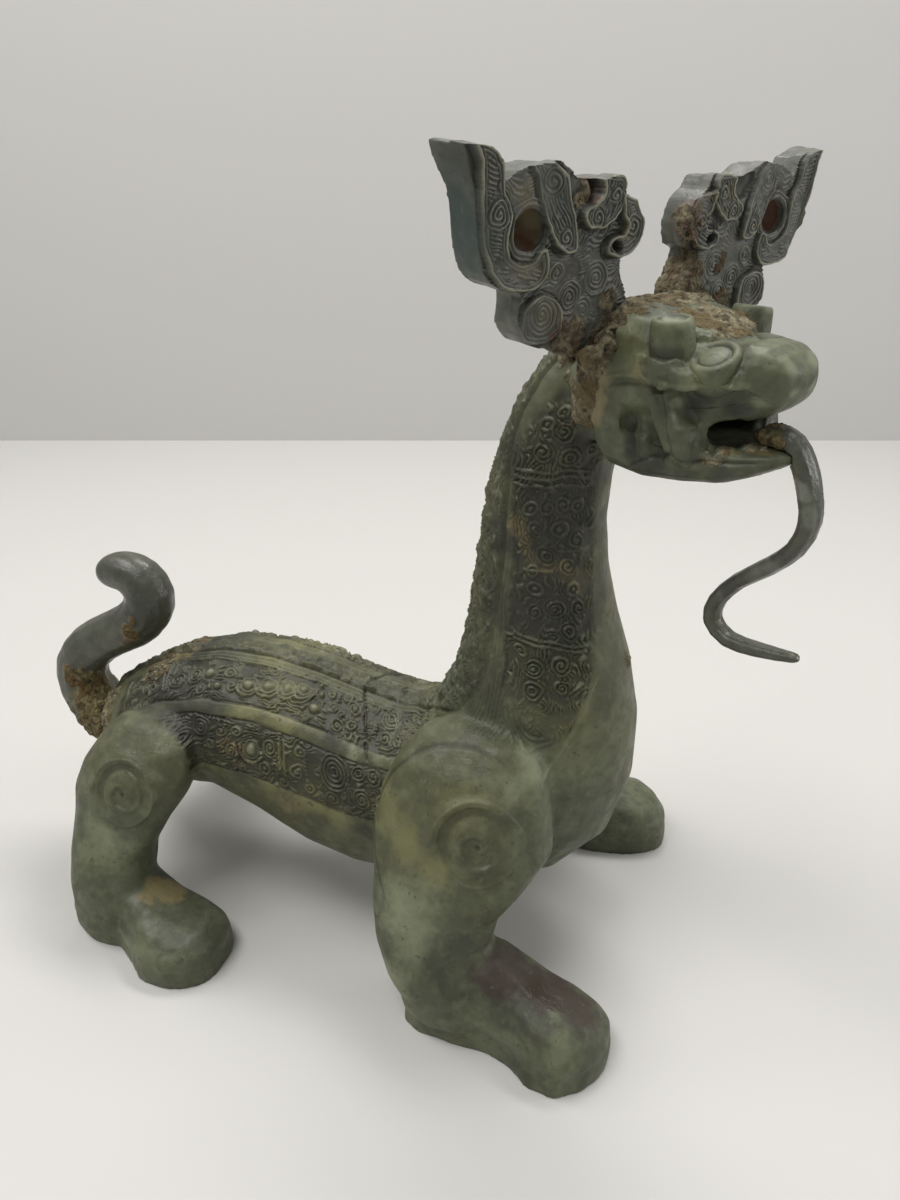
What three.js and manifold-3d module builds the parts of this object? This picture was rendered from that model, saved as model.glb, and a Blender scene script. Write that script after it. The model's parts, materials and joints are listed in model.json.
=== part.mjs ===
// Cast bronze dragon standing on its own four feet, head turned to its right.
// Millimetres, +Z up, the beast faces +X and its left side is +Y.
// The pose tables are written for a beast 334 mm tall; SCALE carries them to HEIGHT.
import * as THREE from "three";
import { mergeVertices } from "three/addons/utils/BufferGeometryUtils.js";
import Module from "manifold-3d";

const wasm = await Module();
wasm.setup();

// Overall sizes
const HEIGHT = 334;
const TABLE_HEIGHT = 334;
const SCALE = HEIGHT / TABLE_HEIGHT;
const HEAD_TURN = 32;
const JOINT_GAP = 0.3;

// Girths that can be changed without changing the pose
const BODY_WIDTH = 90;
const NECK_WIDTH = 42;
const LEG_WIDTH = 39;
const PAW_WIDTH = 45;
const TAIL_DIAMETER = 26;
const TONGUE_WIDTH = 9.5;
const TONGUE_THICKNESS = 6.5;
const HEAD_WIDTH = 49;
const HORN_THICKNESS = 13.5;
const HORN_RELIEF = 2.4;
const HORN_LEAN = 3.7;
const EYE_DIAMETER = 13.6;
const EYE_TOP = 289;
const BOSS_DIAMETER = 15.6;
const BOSS_HEIGHT = 3;
const SPIRAL_DIAMETER = 37;
const SPIRAL_RIDGE = 3.2;
const LEFT_FORELEG_ADVANCE = 7;
const LEFT_FORELEG_SPREAD = 5;

// How finely the lofts are drawn
const BODY_SIDES = 24;
const LIMB_SIDES = 14;
const HEAD_SIDES = 16;
const TAIL_SIDES = 12;
const TONGUE_SIDES = 8;

// Solids from closed triangle meshes
function solidOf(geometry) {
  const loose = geometry.index ? geometry.toNonIndexed() : geometry;
  const bare = new THREE.BufferGeometry();
  bare.setAttribute("position", loose.getAttribute("position"));
  const merged = mergeVertices(bare, 1e-4);
  const mesh = new wasm.Mesh({
    numProp: 3,
    vertProperties: new Float32Array(merged.attributes.position.array),
    triVerts: new Uint32Array(merged.index.array),
  });
  mesh.merge();
  return new wasm.Manifold(mesh);
}

function geometryOf(solid) {
  const mesh = solid.getMesh();
  const geometry = new THREE.BufferGeometry();
  geometry.setAttribute("position", new THREE.BufferAttribute(mesh.vertProperties, 3));
  geometry.setIndex(new THREE.BufferAttribute(mesh.triVerts, 1));
  const flat = geometry.toNonIndexed();
  flat.computeVertexNormals();
  return flat;
}

function join(solids) {
  return solids.reduce((whole, next) => whole.add(next));
}

// Rows between the given stations, on a smooth curve through every column
function smoothRows(rows, steps) {
  const out = [];
  for (let i = 0; i < rows.length - 1; i += 1) {
    const before = rows[Math.max(i - 1, 0)];
    const here = rows[i];
    const next = rows[i + 1];
    const after = rows[Math.min(i + 2, rows.length - 1)];
    for (let s = 0; s < steps; s += 1) {
      const t = s / steps;
      out.push(here.map((value, c) => {
        const slopeIn = (next[c] - before[c]) / 2;
        const slopeOut = (after[c] - value) / 2;
        const bend = 2 * value - 2 * next[c] + slopeIn + slopeOut;
        const lift = 3 * next[c] - 3 * value - 2 * slopeIn - slopeOut;
        return value + t * (slopeIn + t * (lift + t * bend));
      }));
    }
  }
  out.push(rows[rows.length - 1]);
  return out;
}

// Skin over rings; a ring is a centre, two half axes and the squareness of its outline
function loft(rings, sides) {
  const positions = [];
  const index = [];
  rings.forEach((ring) => {
    for (let k = 0; k < sides; k += 1) {
      const angle = (2 * Math.PI * k) / sides;
      const power = 2 / ring.square;
      const across = Math.sign(Math.cos(angle)) * Math.abs(Math.cos(angle)) ** power;
      const up = Math.sign(Math.sin(angle)) * Math.abs(Math.sin(angle)) ** power;
      const point = ring.centre.clone();
      point.addScaledVector(ring.across, across).addScaledVector(ring.up, up);
      positions.push(point.x, point.y, point.z);
    }
  });
  for (let r = 0; r < rings.length - 1; r += 1) {
    for (let k = 0; k < sides; k += 1) {
      const a = r * sides + k;
      const b = r * sides + ((k + 1) % sides);
      index.push(a, b, a + sides, b, b + sides, a + sides);
    }
  }
  [0, rings.length - 1].forEach((r) => {
    const middle = positions.length / 3;
    positions.push(rings[r].centre.x, rings[r].centre.y, rings[r].centre.z);
    for (let k = 0; k < sides; k += 1) {
      const a = r * sides + k;
      const b = r * sides + ((k + 1) % sides);
      if (r === 0) index.push(middle, b, a);
      else index.push(middle, a, b);
    }
  });
  const geometry = new THREE.BufferGeometry();
  geometry.setAttribute("position", new THREE.Float32BufferAttribute(positions, 3));
  geometry.setIndex(index);
  const solid = solidOf(geometry);
  if (solid.volume() > 0) return solid;
  for (let i = 0; i < index.length; i += 3) {
    [index[i + 1], index[i + 2]] = [index[i + 2], index[i + 1]];
  }
  geometry.setIndex(index);
  return solidOf(geometry);
}

const vec = (x, y, z) => new THREE.Vector3(x, y, z);

// Trunk, chest and neck: one skin from the rump to the nape.
// Each station is a point of the back, the point of the belly or breast facing it,
// and the width there as a share of the trunk's or the neck's.
const TRUNK = [
  [-266, 77, -261, 58, 0.2],
  [-258, 91, -250, 48, 0.5],
  [-240, 105, -233, 44, 0.7],
  [-216, 118, -212, 51, 0.82],
  [-190, 124.5, -190, 54, 0.89],
  [-165, 124.5, -165, 45, 0.95],
  [-140, 120, -141, 33.5, 1.0],
  [-118, 114, -116, 28, 1.02],
  [-101, 111, -86, 29, 1.02],
  [-91, 113, -54, 34, 1.0],
  [-84, 120, -24, 46, 0.98],
];
const NECK = [
  [-79, 130, -6, 66, 2.02],
  [-75, 142, 1, 91, 1.86],
  [-72, 156, 1, 118, 1.66],
  [-70, 171, -4, 144, 1.42],
  [-68, 186, -11, 166, 1.22],
  [-66, 201, -16, 186, 1.08],
  [-64, 217, -18, 206, 1.0],
  [-60, 233, -17, 225, 0.97],
  [-54, 249, -14, 241, 0.97],
  [-46, 263, -9, 254, 0.96],
  [-37, 274, -4, 262, 0.9],
  [-29, 280, -2, 268, 0.6],
];

function bodySolid(grow) {
  const rows = [
    ...TRUNK.map((row) => [...row.slice(0, 4), (row[4] * BODY_WIDTH) / 2]),
    ...NECK.map((row) => [...row.slice(0, 4), (row[4] * NECK_WIDTH) / 2]),
  ];
  const rings = rows.map((row) => {
    const back = vec(row[0], 0, row[1]);
    const front = vec(row[2], 0, row[3]);
    const up = back.clone().sub(front).multiplyScalar(0.5);
    const stretch = 1 + grow / up.length();
    return {
      centre: back.clone().add(front).multiplyScalar(0.5),
      across: vec(0, row[4] + grow, 0),
      up: up.multiplyScalar(stretch),
      square: 2.15,
    };
  });
  rings[0].centre.x -= grow;
  return loft(rings, BODY_SIDES);
}

// Legs: stations from the shoulder or hip down to the sole:
// centre forward, centre outward, height, half length, half width as a share of the leg's.
const FORELEG = [
  [-55, 33, 126, 10, 0.3],
  [-57, 36, 122, 24, 0.62],
  [-59, 40, 112, 31, 0.9],
  [-60.5, 44, 97, 36, 1.03],
  [-61.5, 48, 80, 38.5, 1.05],
  [-64.5, 53, 65, 33, 1.0],
  [-69, 58, 51, 27.5, 0.97],
  [-68.5, 63.5, 38, 24.5, 0.97],
  [-64, 67.5, 25, 23, 0.95],
  [-59, 68, 12, 21, 0.88],
  [-57, 66.5, 0, 19, 0.8],
];
const HIND_LEG = [
  [-210, 31, 103, 9, 0.28],
  [-211, 34, 100, 18, 0.58],
  [-213, 38, 92, 25, 0.84],
  [-217, 42, 81, 28.5, 0.96],
  [-221.5, 46, 69, 28, 0.96],
  [-225, 51, 56, 23, 0.93],
  [-228.5, 57, 42, 19.5, 0.92],
  [-228, 62, 29, 19, 0.92],
  [-226, 64.5, 14, 19.5, 0.88],
  [-225, 64.5, 0, 18, 0.8],
];

// Feet: forward, outward, half width as a share of the paw's, height of the top.
const FOREPAW = [
  [-77, 68.5, 0.4, 20],
  [-70, 68, 0.62, 32],
  [-56, 66.5, 0.74, 44],
  [-41, 66, 0.77, 40.5],
  [-30, 67.5, 0.86, 33.5],
  [-20, 71.5, 0.99, 29],
  [-9, 73.5, 0.98, 26.5],
  [0, 72.5, 0.76, 23],
  [5.5, 71, 0.5, 17],
  [8, 70, 0.24, 8],
];
const HIND_PAW = [
  [-247, 63, 0.36, 16],
  [-241, 63, 0.56, 28],
  [-229, 62, 0.7, 36],
  [-217, 62, 0.78, 34],
  [-207, 66, 0.88, 28],
  [-197, 71, 1.0, 24.5],
  [-185, 73, 0.98, 22.5],
  [-175, 73.5, 0.82, 21],
  [-169, 73.5, 0.6, 17],
  [-166.5, 73.5, 0.3, 9],
];

// A leg's section at a height, between its stations
function legAt(stations, z) {
  const rows = smoothRows(stations, 2);
  const below = rows.findIndex((row) => row[2] <= z);
  const low = rows[below];
  const high = rows[below - 1];
  const share = (z - low[2]) / (high[2] - low[2]);
  return low.map((value, c) => value + share * (high[c] - value));
}

// Spiral ridge on the outside of a shoulder or hip
function spiralSolid(stations, centreX, centreZ) {
  const turns = 1.6;
  const points = [];
  for (let i = 0; i <= 18; i += 1) {
    const t = i / 18;
    const angle = 2 * Math.PI * turns * t - 0.5;
    const radius = (SPIRAL_DIAMETER / 2) * (0.16 + 0.84 * t);
    const x = centreX + radius * Math.cos(angle);
    const z = centreZ + radius * Math.sin(angle);
    const [cx, cy, , halfLength, share] = legAt(stations, z);
    const along = Math.min(Math.abs((x - cx) / halfLength), 0.97);
    const bulge = ((share * LEG_WIDTH) / 2) * (1 - along ** 2.4) ** (1 / 2.4);
    points.push(vec(x, -(cy + bulge), z));
  }
  const curve = new THREE.CatmullRomCurve3(points);
  const shape = new THREE.Shape();
  for (let k = 0; k < 4; k += 1) {
    const angle = (2 * Math.PI * k) / 4;
    const place = [(SPIRAL_RIDGE / 2) * Math.cos(angle), (SPIRAL_RIDGE / 2) * Math.sin(angle)];
    if (k === 0) shape.moveTo(...place);
    else shape.lineTo(...place);
  }
  const ridge = new THREE.ExtrudeGeometry(shape, { steps: 18, extrudePath: curve });
  return solidOf(ridge);
}

// Right-hand leg with its foot, level sole at zero
function legSolid(leg, paw, spiralX, spiralZ) {
  const column = loft(
    smoothRows(leg, 1).map(([x, y, z, halfLength, share]) => ({
      centre: vec(x, -y, z),
      across: vec(halfLength, 0, 0),
      up: vec(0, (share * LEG_WIDTH) / 2, 0),
      square: 2.4,
    })),
    LIMB_SIDES,
  );
  const foot = loft(
    smoothRows(paw, 1).map(([x, y, share, top]) => ({
      centre: vec(x, -y, 0),
      across: vec(0, (share * PAW_WIDTH) / 2, 0),
      up: vec(0, 0, top),
      square: 2.8,
    })),
    LIMB_SIDES,
  );
  const ground = new THREE.BoxGeometry(500, 500, 100).translate(-100, 0, -50);
  const whole = join([column, foot, spiralSolid(leg, spiralX, spiralZ)]);
  return whole.subtract(solidOf(ground));
}

// The head is drawn looking straight ahead and then turned; X is forward of the nape.
// Stations: forward, underside, top, half width as a share of the head's.
const SKULL = [
  [14, 246, 272, 0.45],
  [20, 245, 283, 0.7],
  [30, 247, 290, 0.92],
  [44, 252, 292, 1.04],
  [58, 255, 289, 1.06],
  [69, 256, 284.5, 1.0],
  [76, 257, 281.5, 0.87],
  [82, 258.5, 283, 0.75],
  [88, 261.5, 282.5, 0.63],
  [93, 265, 280, 0.48],
  [95.5, 268.5, 277, 0.33],
  [96.8, 271, 275, 0.15],
];
const JAW = [
  [27, 246, 260, 0.46],
  [32, 240, 262, 0.72],
  [40, 236.5, 262, 0.92],
  [54, 236, 256, 0.94],
  [68, 237.5, 253, 0.88],
  [80, 239.5, 252.5, 0.76],
  [89, 243.5, 252, 0.6],
  [95, 247, 252, 0.42],
  [98, 249, 251.5, 0.2],
];
const CHEEK = [
  [28, 244, 280, 0.6],
  [36, 240, 284, 0.84],
  [52, 240, 284, 0.84],
  [66, 241, 280, 0.82],
  [75, 243, 276, 0.76],
  [77, 246, 272, 0.6],
];
const TEMPLE = [
  [29, 246, 280, 0.62],
  [33, 241, 284, 0.88],
  [40, 239, 286, 1.0],
  [47, 240, 286, 0.98],
  [50, 246, 280, 0.8],
];
const MOUTH = [
  [48, 252.5, 258, 0.42],
  [60, 252, 259, 0.6],
  [74, 251.5, 259.5, 0.64],
  [84, 251, 261, 0.7],
];

function headLoft(stations, square, grow, steps) {
  const rings = smoothRows(stations, steps).map(([x, low, high, share]) => ({
    centre: vec(x, 0, (low + high) / 2),
    across: vec(0, (share * HEAD_WIDTH) / 2 + grow, 0),
    up: vec(0, 0, (high - low) / 2 + grow),
    square,
  }));
  rings[0].centre.x -= grow;
  rings[rings.length - 1].centre.x += grow;
  return loft(rings, HEAD_SIDES);
}

// Round bar between two points, thicker in the middle than at its ends
function lipBand(side) {
  const stations = [
    [61, 22.5, 272, 1.5],
    [62.5, 22.5, 267, 5],
    [65.5, 21.5, 259, 6],
    [70, 20.5, 251, 6],
    [73.5, 19, 246, 4.5],
    [75, 18, 243.5, 1.5],
  ];
  const rings = stations.map(([x, y, z, radius]) => ({
    centre: vec(x, side * y, z),
    across: vec(radius, 0, 0.3 * radius),
    up: vec(0, side * 0.8 * radius, 0),
    square: 2.2,
  }));
  return loft(rings, 10);
}

// Swelling brow that carries the eye and the disc beside the snout
function brow(side) {
  const stations = [
    [46, 17, 275, 3],
    [52, 18, 275.5, 6.5],
    [62, 20, 275.5, 7.8],
    [72, 18, 274, 7.2],
    [80, 14, 273, 5.5],
    [86, 11, 273, 3],
  ];
  const rings = stations.map(([x, y, z, radius]) => ({
    centre: vec(x, side * y, z),
    across: vec(0, radius, 0),
    up: vec(0, 0, 0.75 * radius),
    square: 2.2,
  }));
  return loft(rings, 10);
}

function roundStub(place, lean, diameter, height) {
  const profile = [
    [0, -height],
    [0.47 * diameter, -height],
    [0.5 * diameter, -0.12 * height],
    [0.46 * diameter, 0],
    [0.3 * diameter, -0.06 * height],
    [0, -0.08 * height],
  ].map(([x, y]) => new THREE.Vector2(x, y));
  const stub = new THREE.LatheGeometry(profile, 14);
  stub.rotateX(Math.PI / 2);
  stub.rotateX(THREE.MathUtils.degToRad(lean));
  stub.translate(...place);
  return solidOf(stub);
}

function headSolid() {
  const parts = [
    headLoft(SKULL, 3.2, 0, 1),
    headLoft(JAW, 3, 0, 1),
    headLoft(CHEEK, 4, 0, 1),
    headLoft(TEMPLE, 2.6, 0, 1),
  ];
  [-1, 1].forEach((side) => {
    parts.push(lipBand(side), brow(side));
    parts.push(roundStub([62.5, side * 21, EYE_TOP], -side * 8, EYE_DIAMETER, 12));
    parts.push(roundStub([75.5, side * 17, 279.3], -side * 28, BOSS_DIAMETER, BOSS_HEIGHT + 6));
  });
  return join(parts).subtract(headLoft(MOUTH, 4, 0, 1));
}

// Horns: plates across the head. Outlines are outward from the mid-line and height.
const HORN_FRONT = 41;
const HORN_PLATE = [
  [85, 334], [81, 324], [79, 312], [76, 303], [70, 298.5], [62, 297.5], [60.5, 293],
  [61, 287], [56, 281.5], [48, 279.5], [40, 277], [28, 276], [17, 278], [14, 290],
  [18, 298], [19.5, 303.5], [14.5, 305.5], [12.5, 312], [15, 319.5], [20, 322.5],
  [22.5, 326.5], [32, 326.5], [41, 326.5], [46, 329.5], [56, 330.5], [66, 328.5],
  [70, 326], [73, 332],
];
const HORN_LIMB = [
  [86, 334.7], [82, 331], [80, 323], [78, 312], [75, 303], [69, 298], [61, 297.5],
  [55.5, 301.5], [55, 308], [60, 306], [66, 306.5], [69, 311.5], [68, 318], [70, 325],
  [72, 331], [76, 334],
];
const HORN_BAR = [
  [56.5, 325], [54, 330], [49.5, 331], [46, 327.5], [43.5, 318], [41, 309], [44, 306.5],
  [49, 308.5], [53, 318],
];
const HORN_SCROLL = [
  [31, 326.5], [23, 327.3], [20.8, 323], [22.5, 315], [31, 311.5], [37.5, 314], [36, 319.5],
  [31.5, 321.5],
];
const HORN_INNER_LOBE = [
  [20, 321], [14.5, 319.5], [12, 313], [13.5, 306.5], [18.5, 304.5], [24, 307.5], [24, 315],
];
const HORN_OUTER_LOBE = [
  [61.5, 294], [61, 287], [56, 281.5], [48.5, 280], [43, 285], [44.5, 292.5], [52, 297],
  [58.5, 297],
];
const HORN_HOLE = [
  [66, 316], [60, 319], [54.5, 316.5], [54.8, 310.5], [60, 308], [65.5, 310],
];

function plate(outline, back, front, steps) {
  const closed = [...outline, outline[0], outline[1]];
  const curved = smoothRows([outline[outline.length - 1], ...closed], steps);
  const ring = curved.slice(steps, steps * (outline.length + 1));
  const shape = new THREE.Shape(ring.map(([x, z]) => new THREE.Vector2(x, z)));
  const slab = new THREE.ExtrudeGeometry(shape, { depth: front - back, bevelEnabled: false });
  slab.rotateX(Math.PI / 2);
  slab.rotateZ(Math.PI / 2);
  slab.translate(back, 0, 0);
  return solidOf(slab);
}

// The left horn, in the head's own frame, resting on the skull
function hornSolid() {
  const back = HORN_FRONT - HORN_THICKNESS;
  const face = HORN_FRONT - HORN_RELIEF;
  const middle = HORN_FRONT - HORN_THICKNESS / 2;
  const raised = [HORN_LIMB, HORN_BAR, HORN_SCROLL, HORN_INNER_LOBE, HORN_OUTER_LOBE];
  const whole = join([
    plate(HORN_PLATE, back, face, 2),
    ...raised.map((outline) => plate(outline, middle, HORN_FRONT, 2)),
  ]);
  const horn = whole.subtract(plate(HORN_HOLE, back - 5, HORN_FRONT + 5, 2));
  const lean = new THREE.Matrix4()
    .makeTranslation(HORN_FRONT, 0, 290)
    .multiply(new THREE.Matrix4().makeRotationY(THREE.MathUtils.degToRad(HORN_LEAN)))
    .multiply(new THREE.Matrix4().makeTranslation(-HORN_FRONT, 0, -290));
  const leaning = solidOf(geometryOf(horn).applyMatrix4(lean));
  return leaning.subtract(headLoft(SKULL, 3.2, JOINT_GAP, 1));
}

// Tongue: forward and height of its middle line, and its thickness as a share.
const TONGUE = [
  [85, 253, 0.9], [90, 255.5, 1], [95.5, 254, 1.05], [100, 248.5, 1.05], [103.3, 240.5, 1.05],
  [105, 231.5, 1], [102, 222, 0.98], [94, 213.5, 0.95], [84, 205, 0.9], [77, 196, 0.88],
  [76, 188, 0.85], [83, 183, 0.8], [95, 183.5, 0.7], [107, 185.5, 0.5], [108.5, 185.8, 0.3],
];

function tongueSolid() {
  const rows = smoothRows(TONGUE, 2);
  const rings = rows.map(([x, z, share], i) => {
    const before = rows[Math.max(i - 1, 0)];
    const after = rows[Math.min(i + 1, rows.length - 1)];
    const along = vec(after[0] - before[0], 0, after[1] - before[1]).normalize();
    return {
      centre: vec(x, 0, z),
      across: vec(0, (share * TONGUE_WIDTH) / 2, 0),
      up: vec(-along.z, 0, along.x).multiplyScalar((share * TONGUE_THICKNESS) / 2),
      square: 2.3,
    };
  });
  const whole = loft(rings, TONGUE_SIDES);
  return whole
    .subtract(headLoft(JAW, 3, JOINT_GAP, 1))
    .subtract(headLoft(CHEEK, 4, JOINT_GAP, 1));
}

// Tail: an S of round bar standing up from the rump, with its tip curled back.
// Stations: forward, height, thickness as a share of the tail's.
const TAIL = [
  [-250, 62, 1.05], [-261, 67, 1.08], [-272, 76, 1.08], [-279, 87, 1.03], [-278.5, 99.5, 0.98],
  [-270.5, 110, 0.92], [-258, 118.5, 0.88], [-245, 125.5, 0.9], [-235.5, 134.5, 0.94],
  [-232.5, 144, 0.92], [-236.5, 151, 0.87], [-243.5, 154, 0.78], [-249.5, 153.5, 0.68],
  [-254, 151.5, 0.55], [-256.5, 149.5, 0.3],
];

function tailSolid() {
  const rows = smoothRows(TAIL, 2);
  const rings = rows.map(([x, z, share], i) => {
    const before = rows[Math.max(i - 1, 0)];
    const after = rows[Math.min(i + 1, rows.length - 1)];
    const along = vec(after[0] - before[0], 0, after[1] - before[1]).normalize();
    const radius = (share * TAIL_DIAMETER) / 2;
    return {
      centre: vec(x, 0, z),
      across: vec(0, radius, 0),
      up: vec(-along.z, 0, along.x).multiplyScalar(radius),
      square: 2,
    };
  });
  return loft(rings, TAIL_SIDES).subtract(bodySolid(JOINT_GAP));
}

// The head and what is fixed to it turn together about the nape
const figure = new THREE.Group();
const head = new THREE.Group();
head.position.set(-38, 0, 0);
head.rotation.z = THREE.MathUtils.degToRad(-HEAD_TURN);
head.updateMatrix();

// A solid moved by a matrix; a mirroring one also turns every face round
function placed(solid, matrix) {
  const geometry = geometryOf(solid).applyMatrix4(matrix);
  if (matrix.determinant() > 0) return solidOf(geometry);
  const spots = geometry.getAttribute("position");
  for (let i = 0; i < spots.count; i += 3) {
    const held = [spots.getX(i), spots.getY(i), spots.getZ(i)];
    spots.setXYZ(i, spots.getX(i + 1), spots.getY(i + 1), spots.getZ(i + 1));
    spots.setXYZ(i + 1, ...held);
  }
  return solidOf(geometry);
}

// A mesh of one piece, hung in its group
function addPiece(group, name, solid, colour, roughness) {
  const material = new THREE.MeshStandardMaterial({ color: colour, roughness, metalness: 0.6 });
  const mesh = new THREE.Mesh(geometryOf(solid), material);
  mesh.name = name;
  group.add(mesh);
}

const mirror = new THREE.Matrix4().makeScale(1, -1, 1);
const leftForeleg = new THREE.Matrix4()
  .makeTranslation(LEFT_FORELEG_ADVANCE, LEFT_FORELEG_SPREAD, 0)
  .multiply(mirror);
const foreleg = legSolid(FORELEG, FOREPAW, -50, 90);
const hindLeg = legSolid(HIND_LEG, HIND_PAW, -214, 74);
const casting = join([
  bodySolid(0),
  foreleg,
  placed(foreleg, leftForeleg),
  hindLeg,
  placed(hindLeg, mirror),
  placed(headSolid(), head.matrix),
]);
const horn = hornSolid();

addPiece(figure, "casting", casting, 0x55604c, 0.42);
addPiece(figure, "tail", tailSolid(), 0x4c5445, 0.38);
addPiece(head, "horn_left", horn, 0x4c5547, 0.5);
addPiece(head, "horn_right", placed(horn, mirror), 0x454f47, 0.45);
addPiece(head, "tongue", tongueSolid(), 0x4b5442, 0.48);
figure.add(head);
figure.scale.setScalar(SCALE);

// The origin sits on the ground under the middle of the whole figure
const dragon = new THREE.Group();
dragon.name = "bronze_dragon";
dragon.add(figure);
const box = new THREE.Box3().setFromObject(dragon, true);
const middle = box.getCenter(new THREE.Vector3());
figure.position.set(-middle.x, -middle.y, -box.min.z);

export default dragon;
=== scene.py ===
"""Looks of a cast bronze dragon: relief, green patina and brown crust made around its solids."""
import json
import math

import bmesh
import bpy
import numpy as np
from mathutils import Matrix, Vector


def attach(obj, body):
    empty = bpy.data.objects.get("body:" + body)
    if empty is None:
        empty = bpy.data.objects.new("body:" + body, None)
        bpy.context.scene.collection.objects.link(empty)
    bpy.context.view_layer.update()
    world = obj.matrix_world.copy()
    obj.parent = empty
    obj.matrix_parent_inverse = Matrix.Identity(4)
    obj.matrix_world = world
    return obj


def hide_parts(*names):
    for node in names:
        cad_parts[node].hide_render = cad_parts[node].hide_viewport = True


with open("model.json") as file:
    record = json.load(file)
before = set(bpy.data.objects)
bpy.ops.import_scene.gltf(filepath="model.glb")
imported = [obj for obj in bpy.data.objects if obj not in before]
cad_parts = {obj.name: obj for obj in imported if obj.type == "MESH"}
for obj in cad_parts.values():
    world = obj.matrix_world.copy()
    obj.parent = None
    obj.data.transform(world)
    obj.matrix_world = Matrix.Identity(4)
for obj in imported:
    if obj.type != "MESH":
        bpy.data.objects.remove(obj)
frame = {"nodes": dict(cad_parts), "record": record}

bl_info = {
    "name": "Bronze dragon looks",
    "version": (1, 0, 0),
    "blender": (4, 5, 0),
    "location": "3D View > Sidebar > Bronze dragon",
    "description": "Relief, patina, crust, stage and camera for the cast bronze dragon",
    "category": "Object",
}

# Everything below is worked out in millimetres in the beast's own frame: X forward from 10 mm
# ahead of the right fore sole's middle, Y to its left from the mid-plane, Z up from the ground.
SOLE = next(m for m in frame["record"]["mounts"] if m["name"] == "sole_fore_right")
SOLE_IN_BEAST = (-10.0, -71.0)
SHIFT = np.array([
    SOLE["pos_m"][0] * 1000 - SOLE_IN_BEAST[0],
    SOLE["pos_m"][1] * 1000 - SOLE_IN_BEAST[1],
    0.0,
])
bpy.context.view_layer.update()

# The head looks 32 degrees to the beast's right, turned about the nape
NAPE_X = -38.0
HEAD_TURN = math.radians(32)

# Rings of the trunk and neck from rump to nape:
# back forward, back height, belly forward, belly height, half width
RINGS = np.array([
    (-266, 77, -261, 58, 9), (-258, 91, -250, 48, 22.5), (-240, 105, -233, 44, 31.5),
    (-216, 118, -212, 51, 37), (-190, 124.5, -190, 54, 40), (-165, 124.5, -165, 45, 42.8),
    (-140, 120, -141, 33.5, 45), (-118, 114, -116, 28, 46), (-101, 111, -86, 29, 46),
    (-91, 113, -54, 34, 45), (-84, 120, -24, 46, 44), (-79, 130, -6, 66, 42.4),
    (-75, 142, 1, 91, 39), (-72, 156, 1, 118, 34.9), (-70, 171, -4, 144, 29.8),
    (-68, 186, -11, 166, 25.6), (-66, 201, -16, 186, 22.7), (-64, 217, -18, 206, 21),
    (-60, 233, -17, 225, 20.4), (-54, 249, -14, 241, 20.4), (-46, 263, -9, 254, 20.2),
    (-37, 274, -4, 262, 18.9), (-29, 280, -2, 268, 12.6),
], float)
# Exponent of the rings' outline: 2 is an ellipse, more is fuller
FULLNESS = 2.15
RING_MIDDLES = (RINGS[:, :2] + RINGS[:, 2:4]) / 2
RING_HALF_HEIGHTS = np.linalg.norm(RINGS[:, :2] - RINGS[:, 2:4], axis=1) / 2
RING_RADII = np.sqrt((RING_HALF_HEIGHTS**2 + RINGS[:, 4] ** 2) / 2)
RING_ALONG = np.concatenate(
    ([0.0], np.cumsum(np.linalg.norm(np.diff(RING_MIDDLES, axis=0), axis=1)))
)


def ramp(low, high, value):
    """0 before low and 1 after high, smooth between them; low may be the larger."""
    share = np.clip((value - low) / (high - low), 0, 1)
    return share * share * (3 - 2 * share)


def bar(distance, width):
    """The height of a rounded ridge of that width, at a distance from its middle line."""
    return np.clip(1 - (distance / (width / 2)) ** 2, 0, 1)


def scatter(x, y, z, seed):
    """A fixed number from 0 to 1 for each whole-number place."""
    number = (x * 374761393 + y * 668265263 + z * 362437 + seed * 974711) & 0xFFFFFFFF
    number = ((number ^ (number >> 13)) * 1274126177) & 0xFFFFFFFF
    return ((number ^ (number >> 16)) & 0xFFFF) / 65535


def noise(points, size, seed=0):
    """Smooth noise from -1 to 1 with blobs about that many millimetres across."""
    place = points / size
    whole = np.floor(place).astype(np.int64)
    part = place - whole
    part = part * part * (3 - 2 * part)
    total = np.zeros(len(points))
    for corner in range(8):
        step = np.array([corner & 1, (corner >> 1) & 1, corner >> 2])
        weight = np.prod(np.where(step, part, 1 - part), axis=1)
        total += weight * scatter(*(whole + step).T, seed)
    return 2 * total - 1


def rough(points, size, seed=0, layers=3):
    """Noise with finer noise on it."""
    total = np.zeros(len(points))
    for layer in range(layers):
        total += noise(points, size / 2**layer, seed + layer) / 1.8**layer
    return total


def to_line(phase, pitch):
    """Millimetres to the nearest of lines a pitch apart; the phase counts pitches."""
    return (phase - np.round(phase)) * pitch


def flat_points(across, up):
    """Two coordinates as points that the noise can read."""
    return np.column_stack([across, up, np.zeros(len(across))])


def beast_points(mesh):
    """A mesh's vertices in the beast's frame, in millimetres."""
    points = np.empty(len(mesh.vertices) * 3)
    mesh.vertices.foreach_get("co", points)
    return points.reshape(-1, 3) * 1000 - SHIFT


def set_points(mesh, points):
    """Puts a mesh's vertices at places in the beast's frame."""
    mesh.vertices.foreach_set("co", ((points + SHIFT) / 1000).ravel())
    mesh.update()


def vertex_normals(mesh):
    """The unit normal at each vertex."""
    normals = np.empty(len(mesh.vertices) * 3)
    mesh.vertex_normals.foreach_get("vector", normals)
    return normals.reshape(-1, 3)


def place_in_scene(point):
    """A place in the beast's frame as a place in the scene, in metres."""
    return Vector((np.asarray(point, float) + SHIFT) / 1000)


# Where a point lies on the trunk and neck, and on the head


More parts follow.
